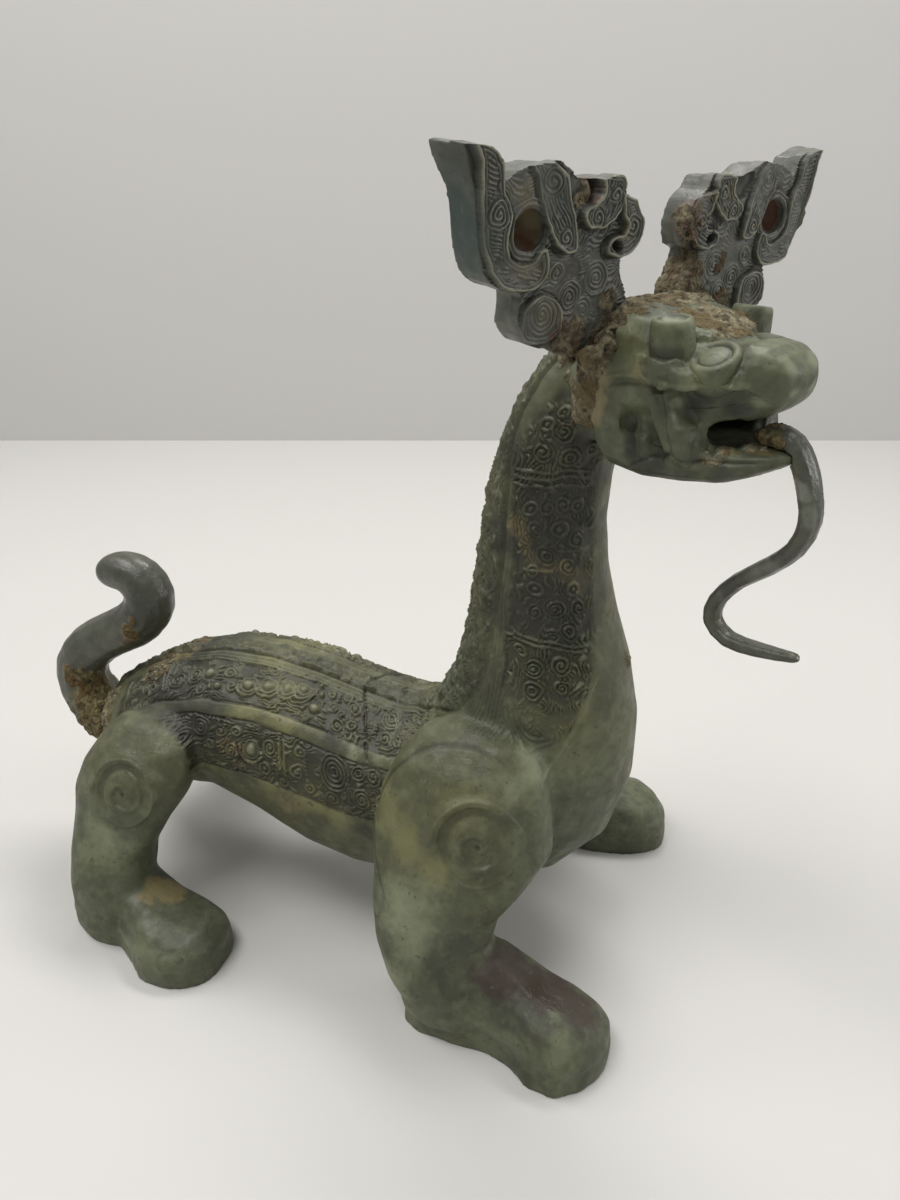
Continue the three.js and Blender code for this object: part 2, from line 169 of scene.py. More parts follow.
def body_place(points):
    """Ring number, degrees from the spine down either side, and distance from the middle
    as a share of the skin's, for each point."""
    x, y, z = points.T
    run = RINGS[:, 2:4] - RINGS[:, :2]
    reach = np.linalg.norm(run, axis=1)
    sides = [
        (run[i, 0] * (z - RINGS[i, 1]) - run[i, 1] * (x - RINGS[i, 0])) / reach[i]
        for i in range(len(RINGS))
    ]
    ring = np.zeros(len(points))
    angle = np.zeros(len(points))
    skin = np.full(len(points), 9.0)
    for i in range(len(RINGS) - 1):
        between = sides[i] * sides[i + 1] <= 0
        span = sides[i] - sides[i + 1]
        share = np.where(between, sides[i] / np.where(span == 0, 1, span), 0)
        row = RINGS[i] + share[:, None] * (RINGS[i + 1] - RINGS[i])
        up = np.column_stack([row[:, 0] - row[:, 2], row[:, 1] - row[:, 3]])
        half = np.linalg.norm(up, axis=1) / 2
        height = (
            (x - (row[:, 0] + row[:, 2]) / 2) * up[:, 0]
            + (z - (row[:, 1] + row[:, 3]) / 2) * up[:, 1]
        ) / (2 * half**2)
        width = np.abs(y) / row[:, 4]
        here = (np.abs(height) ** FULLNESS + width**FULLNESS) ** (1 / FULLNESS)
        closer = between & (np.abs(here - 1) < np.abs(skin - 1))
        ring[closer] = (i + share)[closer]
        angle[closer] = np.degrees(np.arctan2(width, height))[closer]
        skin[closer] = here[closer]
    return ring, angle, skin


def head_place(points):
    """Forward of the nape, to the left and up, in the turned head's own frame."""
    x, y, z = points.T
    cos, sin = math.cos(HEAD_TURN), math.sin(HEAD_TURN)
    forward = (x - NAPE_X) * cos - y * sin
    left = (x - NAPE_X) * sin + y * cos
    return forward, left, z


def from_head(place):
    """A place in the head's own frame as one in the beast's."""
    forward, left, up = place
    cos, sin = math.cos(HEAD_TURN), math.sin(HEAD_TURN)
    return (NAPE_X + forward * cos + left * sin, -forward * sin + left * cos, up)


# Strokes of ornament on a flat panel, as heights from 0 to 1


def spiral(u, v, centre, radius, turns, hand=1, width=1.5, start=0.0):
    """A ridge wound outwards from a centre."""
    du, dv = u - centre[0], v - centre[1]
    away = np.hypot(du, dv)
    pitch = radius / turns
    phase = away / pitch - hand * np.arctan2(dv, du) / (2 * math.pi) - start
    off = to_line(phase, pitch)
    edge = ramp(radius + width * 0.5, radius - width * 0.1, away)
    return np.maximum(bar(off, width), bar(away, width * 1.6)) * edge


def stroke(u, v, first, last, width=1.4):
    """A straight ridge between two places."""
    du, dv = last[0] - first[0], last[1] - first[1]
    share = np.clip(((u - first[0]) * du + (v - first[1]) * dv) / (du * du + dv * dv), 0, 1)
    return bar(np.hypot(u - first[0] - share * du, v - first[1] - share * dv), width)


def polyline(u, v, line, width):
    """A rounded ridge along a bent line."""
    made = np.zeros(len(u))
    for first, last in zip(line[:-1], line[1:]):
        made = np.maximum(made, stroke(u, v, first, last, width))
    return made


def curls(u, v, pitch=2.3, seed=3):
    """Worn filling between the figures: short wavering lines."""
    place = flat_points(u, v)
    waver = 2.4 * noise(place, 7.0, seed) + 1.0 * noise(place, 3.2, seed + 1)
    phase = (v + 0.35 * u) / pitch + waver
    line = bar(to_line(phase, pitch), pitch * 0.62)
    return line * ramp(-0.5, 0.1, noise(place, 3.6, seed + 2))


# Making and finishing a piece's mesh. Lengths here are in metres, and a sink is in millimetres.

SAME_PLACE = 1e-6
RIM = 0.0007
SINK = 0.4
LONG_EDGE = 0.0016
SPIN_STEPS = 72
CRUST_GRAIN = 0.0005
# Shares of each softening move: in, and back out by a little more so that the girth stays
SOFTEN = (0.62, -0.64)
# Softening moves of each mesh, and the most triangles that it keeps
ROUNDS = {"casting": 170, "head": 6, "horn": 3, "tongue": 60, "tail": 260, "crust": 8}
MOST = {
    "casting_hindquarters": 180000, "casting_forequarters": 195000, "casting_head": 140000,
    "horn": 140000, "bar": 38000, "crust": 50000,
}
BAR_GRAIN = {"tongue": 0.0005, "tail": 0.0008}


def link(piece):
    """Puts a piece in the scene."""
    bpy.context.scene.collection.objects.link(piece)
    return piece


def baked(piece, modifier, **settings):
    """Runs one modifier and keeps its result as the piece's mesh."""
    made = piece.modifiers.new(modifier.title(), modifier)
    for name, value in settings.items():
        setattr(made, name, value)
    seen = piece.evaluated_get(bpy.context.evaluated_depsgraph_get())
    mesh = bpy.data.meshes.new_from_object(seen)
    piece.modifiers.clear()
    old = piece.data
    piece.data = mesh
    bpy.data.meshes.remove(old)
    mesh.name = piece.name
    return piece


def remeshed(piece, grain):
    """Gives a piece an even mesh of that spacing, in metres."""
    return baked(piece, "REMESH", mode="VOXEL", voxel_size=grain)


def piece_of(form, name):
    """A new piece with the mesh that was worked out in a bmesh form."""
    mesh = bpy.data.meshes.new(name)
    form.to_mesh(mesh)
    form.free()
    return link(bpy.data.objects.new(name, mesh))


def copy_of(node, name):
    """A closed copy of a CAD solid, its loose triangles joined."""
    form = bmesh.new()
    form.from_mesh(frame["nodes"][node].data)
    bmesh.ops.remove_doubles(form, verts=form.verts, dist=SAME_PLACE)
    return piece_of(form, name)


def softened(mesh, rounds, weight=None, soles=False):
    """Moves each vertex towards the middle of its neighbours and partly back, so that facets
    go and the girth stays. Soles keep their height above the ground."""
    count = len(mesh.vertices)
    edges = np.empty(len(mesh.edges) * 2, np.int64)
    mesh.edges.foreach_get("vertices", edges)
    first, last = edges.reshape(-1, 2).T
    ends = np.concatenate([first, last])
    others = np.concatenate([last, first])
    degree = np.bincount(ends, minlength=count)[:, None]
    points = beast_points(mesh)
    weight = (np.ones(count) if weight is None else weight)[:, None] * np.ones(3)
    if soles:
        weight[:, 2] *= ramp(0.6, 3.0, points[:, 2])
    for _ in range(rounds):
        for push in SOFTEN:
            near = np.column_stack([
                np.bincount(ends, points[others, axis], minlength=count) for axis in range(3)
            ])
            points = points + push * weight * (near / degree - points)
    set_points(mesh, points)


def parted(source, name, place, facing, lowest=None, sink=0.0):
    """A closed copy of what lies behind a flat cut. With a lowest height, only what stands in
    front of the cut and above that height is taken off. The rim can be sunk by some
    millimetres, so that it dives under the part that it meets."""
    form = bmesh.new()
    form.from_mesh(source)
    plane = place_in_scene(place)
    facing = Vector(facing)
    bmesh.ops.bisect_plane(
        form, geom=[*form.verts, *form.edges, *form.faces], plane_co=plane, plane_no=facing,
        dist=1e-7,
    )
    floor = -1 if lowest is None else lowest / 1000
    gone = []
    for face in form.faces:
        middle = face.calc_center_median()
        if (middle - plane).dot(facing) > 0 and middle.z > floor:
            gone.append(face)
    form.normal_update()
    if sink:
        for vert in form.verts:
            near = 1 + (vert.co - plane).dot(facing) / RIM
            if 0 < near <= 1.01 and vert.co.z > floor:
                vert.co -= vert.normal * (near * sink / 1000)
    bmesh.ops.delete(form, geom=gone, context="FACES")
    rim = [edge for edge in form.edges if edge.is_boundary]
    filled = bmesh.ops.holes_fill(form, edges=rim, sides=0)["faces"]
    bmesh.ops.triangulate(form, faces=filled)
    return piece_of(form, name)


def take(piece, other):
    """Gives a piece the mesh of another one, which goes."""
    piece.data = other.data
    piece.data.name = piece.name
    bpy.data.objects.remove(other)


def thinned(piece, most):
    """Keeps the number of triangles under a limit; flat places lose theirs first."""
    count = sum(len(face.vertices) - 2 for face in piece.data.polygons)
    if count > most:
        baked(piece, "DECIMATE", ratio=most / count * 0.995)
    return piece


def smooth_faces(mesh):
    """Shades all faces smooth."""
    mesh.polygons.foreach_set("use_smooth", np.ones(len(mesh.polygons), bool))


def paint(mesh, masks):
    """Stores each mask as an attribute that the finish reads."""
    for name, values in masks.items():
        layer = mesh.attributes.new(name, "FLOAT", "POINT")
        layer.data.foreach_set("value", np.clip(values, -1, 1).astype(np.float32))


def spots(points, places, blur=0.45, seed=40):
    """How far inside any of the given round places each point is; each is x, y, z, radius
    and strength."""
    edge = 1 + 0.3 * noise(points, 7.0, seed) + 0.22 * noise(points, 2.2, seed + 1)
    drift = np.column_stack([noise(points, 13, seed + 2 + axis) for axis in range(3)])
    points = points + 4.0 * drift
    total = np.zeros(len(points))
    for x, y, z, radius, strength in places:
        away = np.linalg.norm(points - (x, y, z), axis=1) / edge
        total = np.maximum(total, strength * ramp(radius, radius * (1 - blur), away))
    return total


# Relief of the trunk and neck

# Edges as millimetres round from the spine, against millimetres along it from the rump.
STRIP_EDGE = (
    (0, 50, 150, 190, 215, 240, 264, 290, 327, 352, 364, 378, 400, 420),
    (4, 4.8, 4.4, 6, 15, 31, 36, 32.5, 25.8, 21, 18, 14, 12, 12),
)
PANEL_REAR = (
    (258, 270, 283, 297, 310, 323, 338, 354, 367, 375, 382, 390, 400),
    (54, 47, 43, 38.5, 36.5, 33.5, 29.5, 24.6, 20.6, 19.4, 20.6, 22.1, 25),
)
PANEL_FRONT = (
    (258, 270, 283, 299, 310, 324, 339, 354, 368, 384, 392, 400),
    (69, 76, 76, 73.5, 70.5, 65.2, 61.5, 57.5, 54, 50, 47, 44),
)
BANDS = (
    # top, foot, first and last millimetre along, seed of the filling
    (12.5, 33.2, 26, 206, 5),
    (40.2, 65.5, 56, 178, 8),
)

# Figures of each kind: along, round from the spine and size
TRUNK_FIGURES = {
    "ring": (
        (36, 21.7, 2.6), (47, 17, 2.2), (48, 26, 3.0), (62.5, 17.2, 2.0), (87, 19.5, 2.6),
        (138, 15.2, 2.2), (151.5, 26.2, 2.6), (146, 14.4, 2.4), (181, 28.2, 2.6), (199, 26.2, 2.4),
        (66.8, 44.4, 1.7), (85.4, 53.6, 2.6), (98.6, 45.6, 2.6), (113.6, 58.6, 3.2),
        (131, 45.8, 2.8), (137.6, 59.4, 2.8), (173, 54.4, 3.0), (156, 62.4, 2.0),
    ),
    "spiral": (
        (42.5, 23, 3.0), (61.5, 23.8, 4.4), (76, 28.6, 2.4), (141, 21.2, 3.0), (145, 28.4, 3.0),
        (173, 26.4, 3.2), (190, 26.6, 3.0), (80, 46.2, 4.6), (97, 54.4, 3.4), (130.4, 54.6, 3.0),
        (169.4, 44.6, 3.6), (163.6, 56.4, 4.6), (103, 61.2, 2.4),
    ),
    "boss": (
        (36, 28, 2.4), (78, 20.4, 2.8), (83.5, 27, 2.2), (131.3, 13.9, 1.6), (133.3, 17.6, 1.4),
        (132.3, 25, 3.2),
    ),
    "coil": (
        (70.5, 22.4, 4.4), (90.5, 25.5, 2.4), (150, 18.2, 3.0), (184.8, 18.8, 3.6),
        (90.6, 47.4, 3.0), (116, 48.6, 3.8), (148.6, 59.6, 3.4), (124, 61.4, 2.6),
    ),
    "knob": (
        (98.3, 23.6, 3.9), (107.2, 22.6, 3.9), (116.2, 20.2, 3.9), (124.5, 18.6, 3.6),
        (107, 51.9, 3.5),
    ),
    "rings": (
        (173, 16.4, 5.6), (196.5, 17.4, 3.4), (73, 50.4, 3.2), (148.6, 48.2, 7.2),
        (161, 44.8, 4.2),
    ),
}
TRUNK_STROKES = (
    ((54, 28), (53, 13.6)), ((56.2, 28), (55.2, 13.8)), ((58.4, 21), (57.6, 14)),
    ((60, 42.6), (72, 41.9)), ((60, 42.6), (66, 46.4)), ((122.6, 43.8), (125.6, 57.4)),
    ((120.4, 43.4), (122.6, 56.4)), ((158, 64), (163, 61.4)), ((156, 62.4), (160, 60)),
    ((200.5, 14), (203.5, 30)), ((202.6, 14), (205.4, 29)), ((29, 15), (30, 30)),
)
PANEL_FIGURES = {
    "spiral": (
        (385.4, 34.6, 4.6), (391.6, 37, 2.6), (355, 37.4, 3.0), (345.4, 36, 3.4), (346, 52, 3.0),
        (318.4, 51, 4.4), (313.6, 44.4, 3.0), (292, 52.4, 4.2), (289.4, 65.4, 3.4),
    ),
    "ring": (
        (386.6, 27.4, 3.0), (380.4, 46, 2.4), (393, 30, 2.6), (353, 31.6, 3.0), (359.4, 48.6, 2.6),
        (349, 44.8, 3.4), (330, 39, 2.8), (323, 42.4, 3.2), (327.4, 55, 2.8), (296, 45.6, 2.6),
    ),
    "rings": ((376, 39.4, 4.2), (337, 42, 3.6), (311.4, 59.6, 3.4), (283, 56.4, 4.2)),
    "coil": ((375, 29, 3.6), (357.6, 43, 3.0), (336, 51, 3.4), (321.4, 59, 3.2), (297.6, 61, 3.6)),
}
PANEL_STROKES = tuple(
    ((u - 0.25 * (v1 - v0) / 2, v0), (u + 0.25 * (v1 - v0) / 2, v1))
    for u, v0, v1 in (
        (369, 22, 49), (366.4, 22, 50), (363.6, 23, 51), (304.6, 42, 68), (302.4, 42, 68),
        (330.6, 35, 46), (342, 46, 57),
    )
)
# Raised line in front of the panel
NECK_LEAF = ((296, 76.5), (287, 76.2), (275, 76.6), (262, 76.2), (252, 74))


def at(knots, along):
    """An edge's distance from the spine, read between its knots."""
    return np.interp(along, *knots)


def unrolled(ring, angle):
    """Millimetres along the spine from the rump, and millimetres round from the spine."""
    numbers = range(len(RINGS))
    along = np.interp(ring, numbers, RING_ALONG)
    return along, np.radians(angle) * np.interp(ring, numbers, RING_RADII)


class Carving:
    """Height in millimetres and tone, from -1 in grooves to 1 on ridges, stroke by stroke."""

    def __init__(self, count):
        self.height = np.zeros(count)
        self.tone = np.zeros(count)

    def add(self, share, height, tone=0.0):
        """Adds a stroke: how much of it lies at each point, its height and its tone."""
        self.height += height * share
        self.tone += tone * share


def figure(u, v, place, size, kind):
    """One figure of the ornament about its place, only worked out near it."""
    made = np.zeros(len(u))
    near = (np.abs(u - place[0]) < size * 1.7 + 1) & (np.abs(v - place[1]) < size * 1.7 + 1)
    if not near.any():
        return made
    across, round_ = u[near], v[near]
    away = np.hypot(across - place[0], round_ - place[1])
    if kind == "spiral":
        made[near] = spiral(across, round_, place, size, size / 1.65, 1, 1.0)
    elif kind == "coil":
        made[near] = spiral(across, round_, place, size, size / 1.65, -1, 1.0, 0.5)
    elif kind == "rings":
        made[near] = bar(to_line(away / 1.8, 1.8), 1.05) * ramp(size + 0.5, size, away)
    elif kind == "ring":
        made[near] = np.maximum(bar(away - size + 0.6, 1.3), bar(away, size * 0.8))
    elif kind == "knob":
        worn = 1.5 * bar(away, size * 1.7)
        scallop = bar(away - size - 1.8, 1.3) * ramp(-1.5, 1.5, round_ - place[1])
        made[near] = np.maximum(np.maximum(worn, 0.8 * bar(away - size, 1.2)), scallop)
    else:
        made[near] = 1.5 * bar(away, size * 1.9)
    return made


def hand_cut(u, v, size, seed):
    """The same places moved a little, as a hand that cuts without a compass moves them."""
    place = flat_points(u, v)
    wide, small = 7 * size, 3 * size
    return (
        u + size * (0.9 * noise(place, wide, seed) + 0.35 * noise(place, small, seed + 1)),
        v + size * (0.9 * noise(place, wide, seed + 2) + 0.35 * noise(place, small, seed + 3)),
    )


def figures(u, v, rows, strokes, seed):
    """All figures of a band or panel with worn curls between them."""
    u, v = hand_cut(u, v, 1.0, seed + 60)
    made = np.zeros(len(u))
    taken = np.zeros(len(u))
    for kind, places in rows.items():
        for along, round_, size in places:
            made = np.maximum(made, figure(u, v, (along, round_), size, kind))
            away = np.hypot(u - along, v - round_)
            taken = np.maximum(taken, ramp(size + 1.2, size + 0.2, away))
    for first, last in strokes:
        line = stroke(u, v, first, last, 1.3)
        made = np.maximum(made, line)
        taken = np.maximum(taken, line > 0)
    return made + 0.95 * (1 - taken) * curls(u, v, 1.75, seed)


# Half outlines of the eye's stub and the disc beside the snout, as radius and height, where
# they stand on the head's left side, and their lean outwards in degrees
STUB_PROFILE = (
    (0, -1.3), (2.0, -1.2), (3.1, -0.85), (3.8, -0.35), (4.5, 0.0), (5.3, 0.05), (5.95, -0.25),
    (6.35, -0.9), (6.55, -2), (6.75, -5), (7.0, -9), (7.5, -12.5), (7.3, -17), (0, -17),
)
DISC_PROFILE = (
    (0, 0.35), (1.5, 0.35), (3.0, 0.25), (4.1, 0.05), (4.6, -0.2), (4.9, -0.5), (5.3, -0.25),
    (5.7, 0.15), (6.5, 0.4), (7.4, 0.15), (8.0, -0.5), (8.3, -1.6), (8.4, -4), (8.5, -9), (0, -9),
)
STUB_PLACE = (62.5, 21, 289)
STUB_LEAN = 8
DISC_PLACE = (75.5, 17, 279.3)
DISC_LEAN = 28
ROUND_PIECES = (
    ("eye_stub_", STUB_PROFILE, STUB_PLACE, STUB_LEAN),
    ("snout_disc_", DISC_PROFILE, DISC_PLACE, DISC_LEAN),
)
# Where the casting's joint crosses the back
CASTING_JOINT = -112
# How far the parts of the casting lap at that joint, where the neck's mesh ends forward of the
# nape, and the height under the chin at which the head's begins
LAP = 0.8
NECK_END = 28.4
CHIN_FOOT = 228
# Centre and radius of the spirals on shoulder and hip
SPIRAL_PLACES = (((-50, 89), 16.8), ((-215.5, 74.5), 14.5))


def worn_share(points):
    """1 where the carving is crisp and less where it is rubbed down."""
    return 0.62 + 0.38 * ramp(-0.45, 0.35, noise(points, 19, 90))


def body_relief(points):
    """The carving on trunk and neck, and how much a point belongs to carved ground."""
    ring, angle, skin = body_place(points)
    forward, left, up = head_place(points)
    on_skin = ramp(1.22, 1.1, skin) * ramp(0.72, 0.85, skin)
    on_skin *= 1 - ramp(16, 22, forward) * ramp(238, 246, up)
    u, v = unrolled(ring, angle)
    lengthwise = flat_points(u, v * 0)
    cut = Carving(len(points))
    worn = worn_share(points)

    # Rough strip down the spine
    strip = at(STRIP_EDGE, u)
    beside = v - strip
    on_strip = ramp(0.8, -0.6, beside)
    on_neck = ramp(222, 250, u)
    lumps = np.clip(noise(points, 4.2, 11) + 0.15, 0, 1) * 1.9 * (1 - 0.55 * on_neck)
    dots = np.clip(noise(points, 2.3, 12), 0, 1) * 1.1
    dots = dots + 0.45 * np.abs(noise(points, 1.4, 13))
    scales = curls(u, v, 2.0, 35) * (0.35 + 0.65 * on_neck)
    cut.height += on_strip * (0.1 + lumps + 0.7 * dots + 0.8 * scales)
    cut.tone += on_strip * (dots * 0.8 + 0.9 * scales - 0.75)
    ground = 0.6 * on_strip

    # Grooves and ridges beside it, along the back and up the neck
    on_back = ramp(214, 190, u) * ramp(22, 40, u)
    at_base = ramp(200, 216, u) * ramp(330, 300, u)
    all_along = 1 - 0.75 * at_base - 0.35 * on_neck * (1 - at_base)
    for off, deep, width, where in (
        (0.9, 1.4, 2.0, all_along), (4.2, 0.9, 1.4, on_back), (6.4, 0.8, 1.3, on_back),
    ):
        cut.add(bar(beside - off, width) * where, -0.8 * deep, -0.7)
    for off in (2.6, 5.3, 7.4):
        cut.add(bar(beside - off, 1.5) * on_back, 0.45, 0.35)

    # Fine lines that run up from the neck's foot beside the strip
    waver = 1.5 * noise(flat_points(u * 0.4, v), 7, 97)
    comb = bar(to_line((v + 0.22 * (u - 250) + waver) / 1.9, 1.9), 1.2)
    comb = comb * ramp(214, 226, u) * ramp(372, 320, u) * ramp(1, 3, beside)
    comb = comb * ramp(66, 58, v) * ramp(1.5, -0.5, v - at(PANEL_REAR, u))
    cut.add(comb, 0.7, 0.8)
    cut.add(comb > 0, -0.3, -0.35)

    # Two carved bands on the trunk with a plain band between them
    for top, foot, first, last, seed in BANDS:
        ends = ramp(first - 3, first + 1, u) * ramp(last + 3, last - 1, u)
        inside = ramp(-0.5, 0.6, v - top) * ramp(0.5, -0.6, v - foot) * ends
        made = figures(u, v, TRUNK_FIGURES, TRUNK_STROKES, seed) * worn
        cut.height += inside * (1.4 * made - 0.8)
        cut.tone += inside * (1.7 * made - 0.95)
        ground = np.maximum(ground, inside)
        for edge in (top, foot):
            waver = 0.5 * noise(lengthwise, 14, seed)
            line = bar(v - edge - waver, 1.5) * ends
            line = line * (0.35 + 0.65 * ramp(-0.5, 0.2, noise(lengthwise, 15, seed + 9)))
            cut.add(line, -0.8, -0.85)
    cut.add(bar(v - 36.7, 6.4) * ramp(50, 60, u) * ramp(176, 168, u), 0.25)

    # Joint in the casting across the bands
    joint = bar(u - 150 - 0.45 * (v - 5) - 1.2 * noise(points, 9, 95), 2.0)
    cut.add(joint * ramp(3, 6, v) * ramp(40, 37, v), -1.1, -1.0)

    # Side panels of the neck, with a round foot
    rear, front = at(PANEL_REAR, u), at(PANEL_FRONT, u)
    foot = np.hypot(u - 271, v - 62.5)
    inside = ramp(-2.5, 1.5, v - rear) * ramp(1.5, -2.5, v - front) * ramp(404, 397, u)
    inside *= np.maximum(ramp(268, 275, u), ramp(15, 10, foot))
    inside *= 0.45 + 0.55 * ramp(264, 292, u)
    made = figures(u, v, PANEL_FIGURES, PANEL_STROKES, 15)
    nested = bar(to_line(foot / 2.4, 2.4), 1.2)
    made = np.where((foot < 12) & (foot > 4.5) & (u < 268), nested, made) * worn
    cut.height += inside * (1.6 * made - 0.9)
    cut.tone += inside * (1.25 * made - 0.8)
    ground = np.maximum(ground, np.maximum(inside, 0.7 * on_neck * ramp(3, -1, v - rear)))
    for edge, deep in ((rear, 0.5), (front, 0.35)):
        wavering = edge + 0.8 * noise(lengthwise, 11, 98)
        line = bar(v - wavering, 1.3) * ramp(268, 276, u) * ramp(404, 400, u)
        cut.add(line * ramp(-0.7, 0.1, noise(lengthwise, 17, 99)), -deep, -0.6)
    cut.add(polyline(u, v, NECK_LEAF, 1.9), 0.6, 0.6)
    return cut.height * on_skin, cut.tone * on_skin, ground * on_skin


# Relief of the legs


def legs_relief(points):
    """Spirals and plate outlines on shoulders and hips, and the edge above the soles."""
    x, y, z = points.T
    aside = np.abs(y)
    outer = ramp(40, 46, aside)
    cut = Carving(len(points))
    for centre, radius in SPIRAL_PLACES:
        across = x - centre[0] + 0.8 * noise(points, 13, 131)
        rise = z - centre[1] + 0.8 * noise(points, 13, 132)
        away = np.hypot(across, rise)
        turn = np.arctan2(rise, across)
        outline = bar(away - radius - 0.35 * turn, 1.5) * ramp(-3.0, -2.2, turn)
        crescent = ramp(radius - 0.7, radius - 1.8, away) * ramp(radius * 0.6, radius * 0.74, away)
        crescent = crescent * (0.3 + 0.7 * ramp(-0.5, 0.9, np.sin(turn) - np.cos(turn)))
        cut.add(outer * outline, 0.5, 0.4)
        # The crescent's darker tone is painted shade in its groove, strongest at its upper rear
        cut.add(outer * crescent, -0.65, -0.55)
        cut.add(outer * spiral(across, rise, (0, 0), radius * 0.64, 1.4, 1, 2.6, 0.35), 0.6, 0.1)
        cut.add(outer * bar(away, 3.4), -1.2, -0.9)
    foot = ramp(30, 44, aside)
    wall = 8.5 - 2.5 * ramp(-35, -70, x) * ramp(-150, -120, x) - 2.5 * ramp(-190, -215, x)
    above = z - wall
    cut.add(foot * ramp(0.8, -0.5, above), 0.3)
    cut.add(foot * bar(above - 4.2, 8.0), 0.9)
    cut.add(foot * bar(above - 0.6, 2.2), 0.0, 0.5)
    cut.add(foot * ramp(1.0, -1.0, above), 0.0, -0.35)
    off = (np.hypot((x + 60) / 36.5, (z - 84) / 38.5) - 1) * 37
    over = ramp(52, 62, z) * ramp(14, 24, aside) * ramp(-28, -52, x)
    cut.add(bar(off, 2.0) * over, -0.5, -0.7)
    cut.add(ramp(0.8, -1.6, off) * over, 0.25)
    return cut.height, cut.tone


# Relief of the head

BROW_EDGE = (
    (40, 47, 55, 63, 72, 80, 87, 93, 99), (268, 270, 271.5, 271, 270.6, 270.8, 271, 267, 262),
)
FANG_LINE = ((66, 269.5), (68, 265), (70.5, 259), (72.3, 253.5), (73, 249))
JAW_CREASE = ((52, 241.5), (60, 246), (68, 248.8), (77, 248.2), (86, 248.6), (94, 249.6))
UPPER_LIP = ((71.5, 257.6), (80, 259.6), (92, 262.6))


def head_relief(points):
    """Ledges, folds, lips and bands of the head, the same on both sides."""
    forward, left, up = head_place(points)
    side = np.abs(left)
    cut = Carving(len(points))
    on_head = ramp(24, 32, forward) * ramp(232, 238, up)
    flank = on_head * ramp(9, 14, side)

    # Ledge of the brow with the lip set back under it, and painted shade on the lip just under the
    # ledge
    under = np.interp(forward, *BROW_EDGE) - up
    along = flank * ramp(58, 64, forward) * ramp(101, 94, forward)
    cut.add(along * ramp(-0.2, 0.9, under) * ramp(15, 6, under), -2.6)
    cut.add(along * ramp(-0.3, 0.8, under) * ramp(10, 2, under), 0.0, -0.5)
    behind = flank * ramp(40, 46, forward)
    cut.add(bar(under + 0.3, 2.2) * behind * ramp(98, 92, forward), 0.9, 0.5)
    cut.add(bar(under - 2.2, 2.2) * behind * ramp(66, 60, forward), -0.9, -0.5)

    # Band that comes down in front of the cheek, its upper part painted paler as a highlight
    band = polyline(forward, up, FANG_LINE, 6.0)
    rim = ramp(0.02, 0.2, polyline(forward, up, FANG_LINE, 8.0)) * ramp(0.25, 0.05, band)
    cut.add(flank * band, 2.1)
    cut.add(flank * ramp(0.4, 1.0, band) * ramp(256, 262, up), 0.0, 0.6)
    cut.add(flank * rim, 0.0, -0.5)

    # Hollow of the cheek with soft folds running down it
    hollow = np.hypot((forward - 55 + 0.25 * (up - 252)) / 11.5, (up - 251.5) / 10.5)
    hollow = hollow + 0.12 * noise(points, 9, 120)
    cut.add(flank * ramp(1.1, 0.45, hollow), -1.5, -0.25)
    folds = bar(forward - 50 + 0.3 * (up - 250), 5) + bar(forward - 61 + 0.35 * (up - 250), 5.5)
    folds = flank * np.clip(folds, 0, 1) * ramp(259, 253, up) * ramp(241, 245, up)
    cut.add(folds, -1.0, -0.6)
    ridge = bar(forward - 56 + 0.32 * (up - 250), 4.5) * ramp(259, 254, up) * ramp(241, 245, up)
    cut.add(flank * ridge, 1.2, 0.2)
    cut.add(flank * polyline(forward, up, JAW_CREASE, 1.8), -0.8, -0.7)

    # The casting stands back under the disc and the stub, and is dark where it meets them
    lean = math.radians(DISC_LEAN)
    outward, rise = side - DISC_PLACE[1], up - DISC_PLACE[2]
    aside = outward * math.cos(lean) - rise * math.sin(lean)
    proud = outward * math.sin(lean) + rise * math.cos(lean)
    disc = np.hypot(forward - DISC_PLACE[0], aside)
    near = on_head * ramp(-8.5, -6, proud)
    cut.add(near * ramp(8.9, 7.9, disc), -1.7)
    cut.add(near * bar(disc - 9.4, 2.0), -0.5)
    cut.add(near * bar(disc - 9.2, 1.8), 0.0, -0.6)
    stub = np.hypot(forward - STUB_PLACE[0], side - STUB_PLACE[1] + 0.14 * (STUB_PLACE[2] - up))
    cut.add(ramp(275, 278, up) * on_head * ramp(7.8, 7.0, stub), -1.5)
    foot = ramp(273, 275, up) * ramp(281, 278, up)
    cut.add(bar(stub - 7.7, 2.0) * on_head * foot, 0.0, -0.7)
    shelf = ramp(279, 277.2, up) * ramp(269.5, 271.5, up) * ramp(14, 9, stub) * on_head
    cut.add(shelf * ramp(10, 14, side) * ramp(71, 67, forward), 2.0)
    ledge = ramp(276.5, 274, up) * ramp(269, 271, up) * ramp(67, 70, forward)
    cut.add(ledge * ramp(87, 83, forward) * on_head * ramp(11, 15, side), 2.1)

    # Lips about the slot of the mouth: a straight upper edge and a step behind its corner
    cut.add(flank * polyline(forward, up, UPPER_LIP, 2.2), 0.8, 0.25)
    # The slot between the lips is darkened with no change of height: painted shade in the mouth
    slot = ramp(17, 13, side) * bar(up - 254.5, 9) * ramp(70, 73, forward)
    cut.add(on_head * slot, 0.0, -0.9)
    return cut.height * on_head, cut.tone * on_head


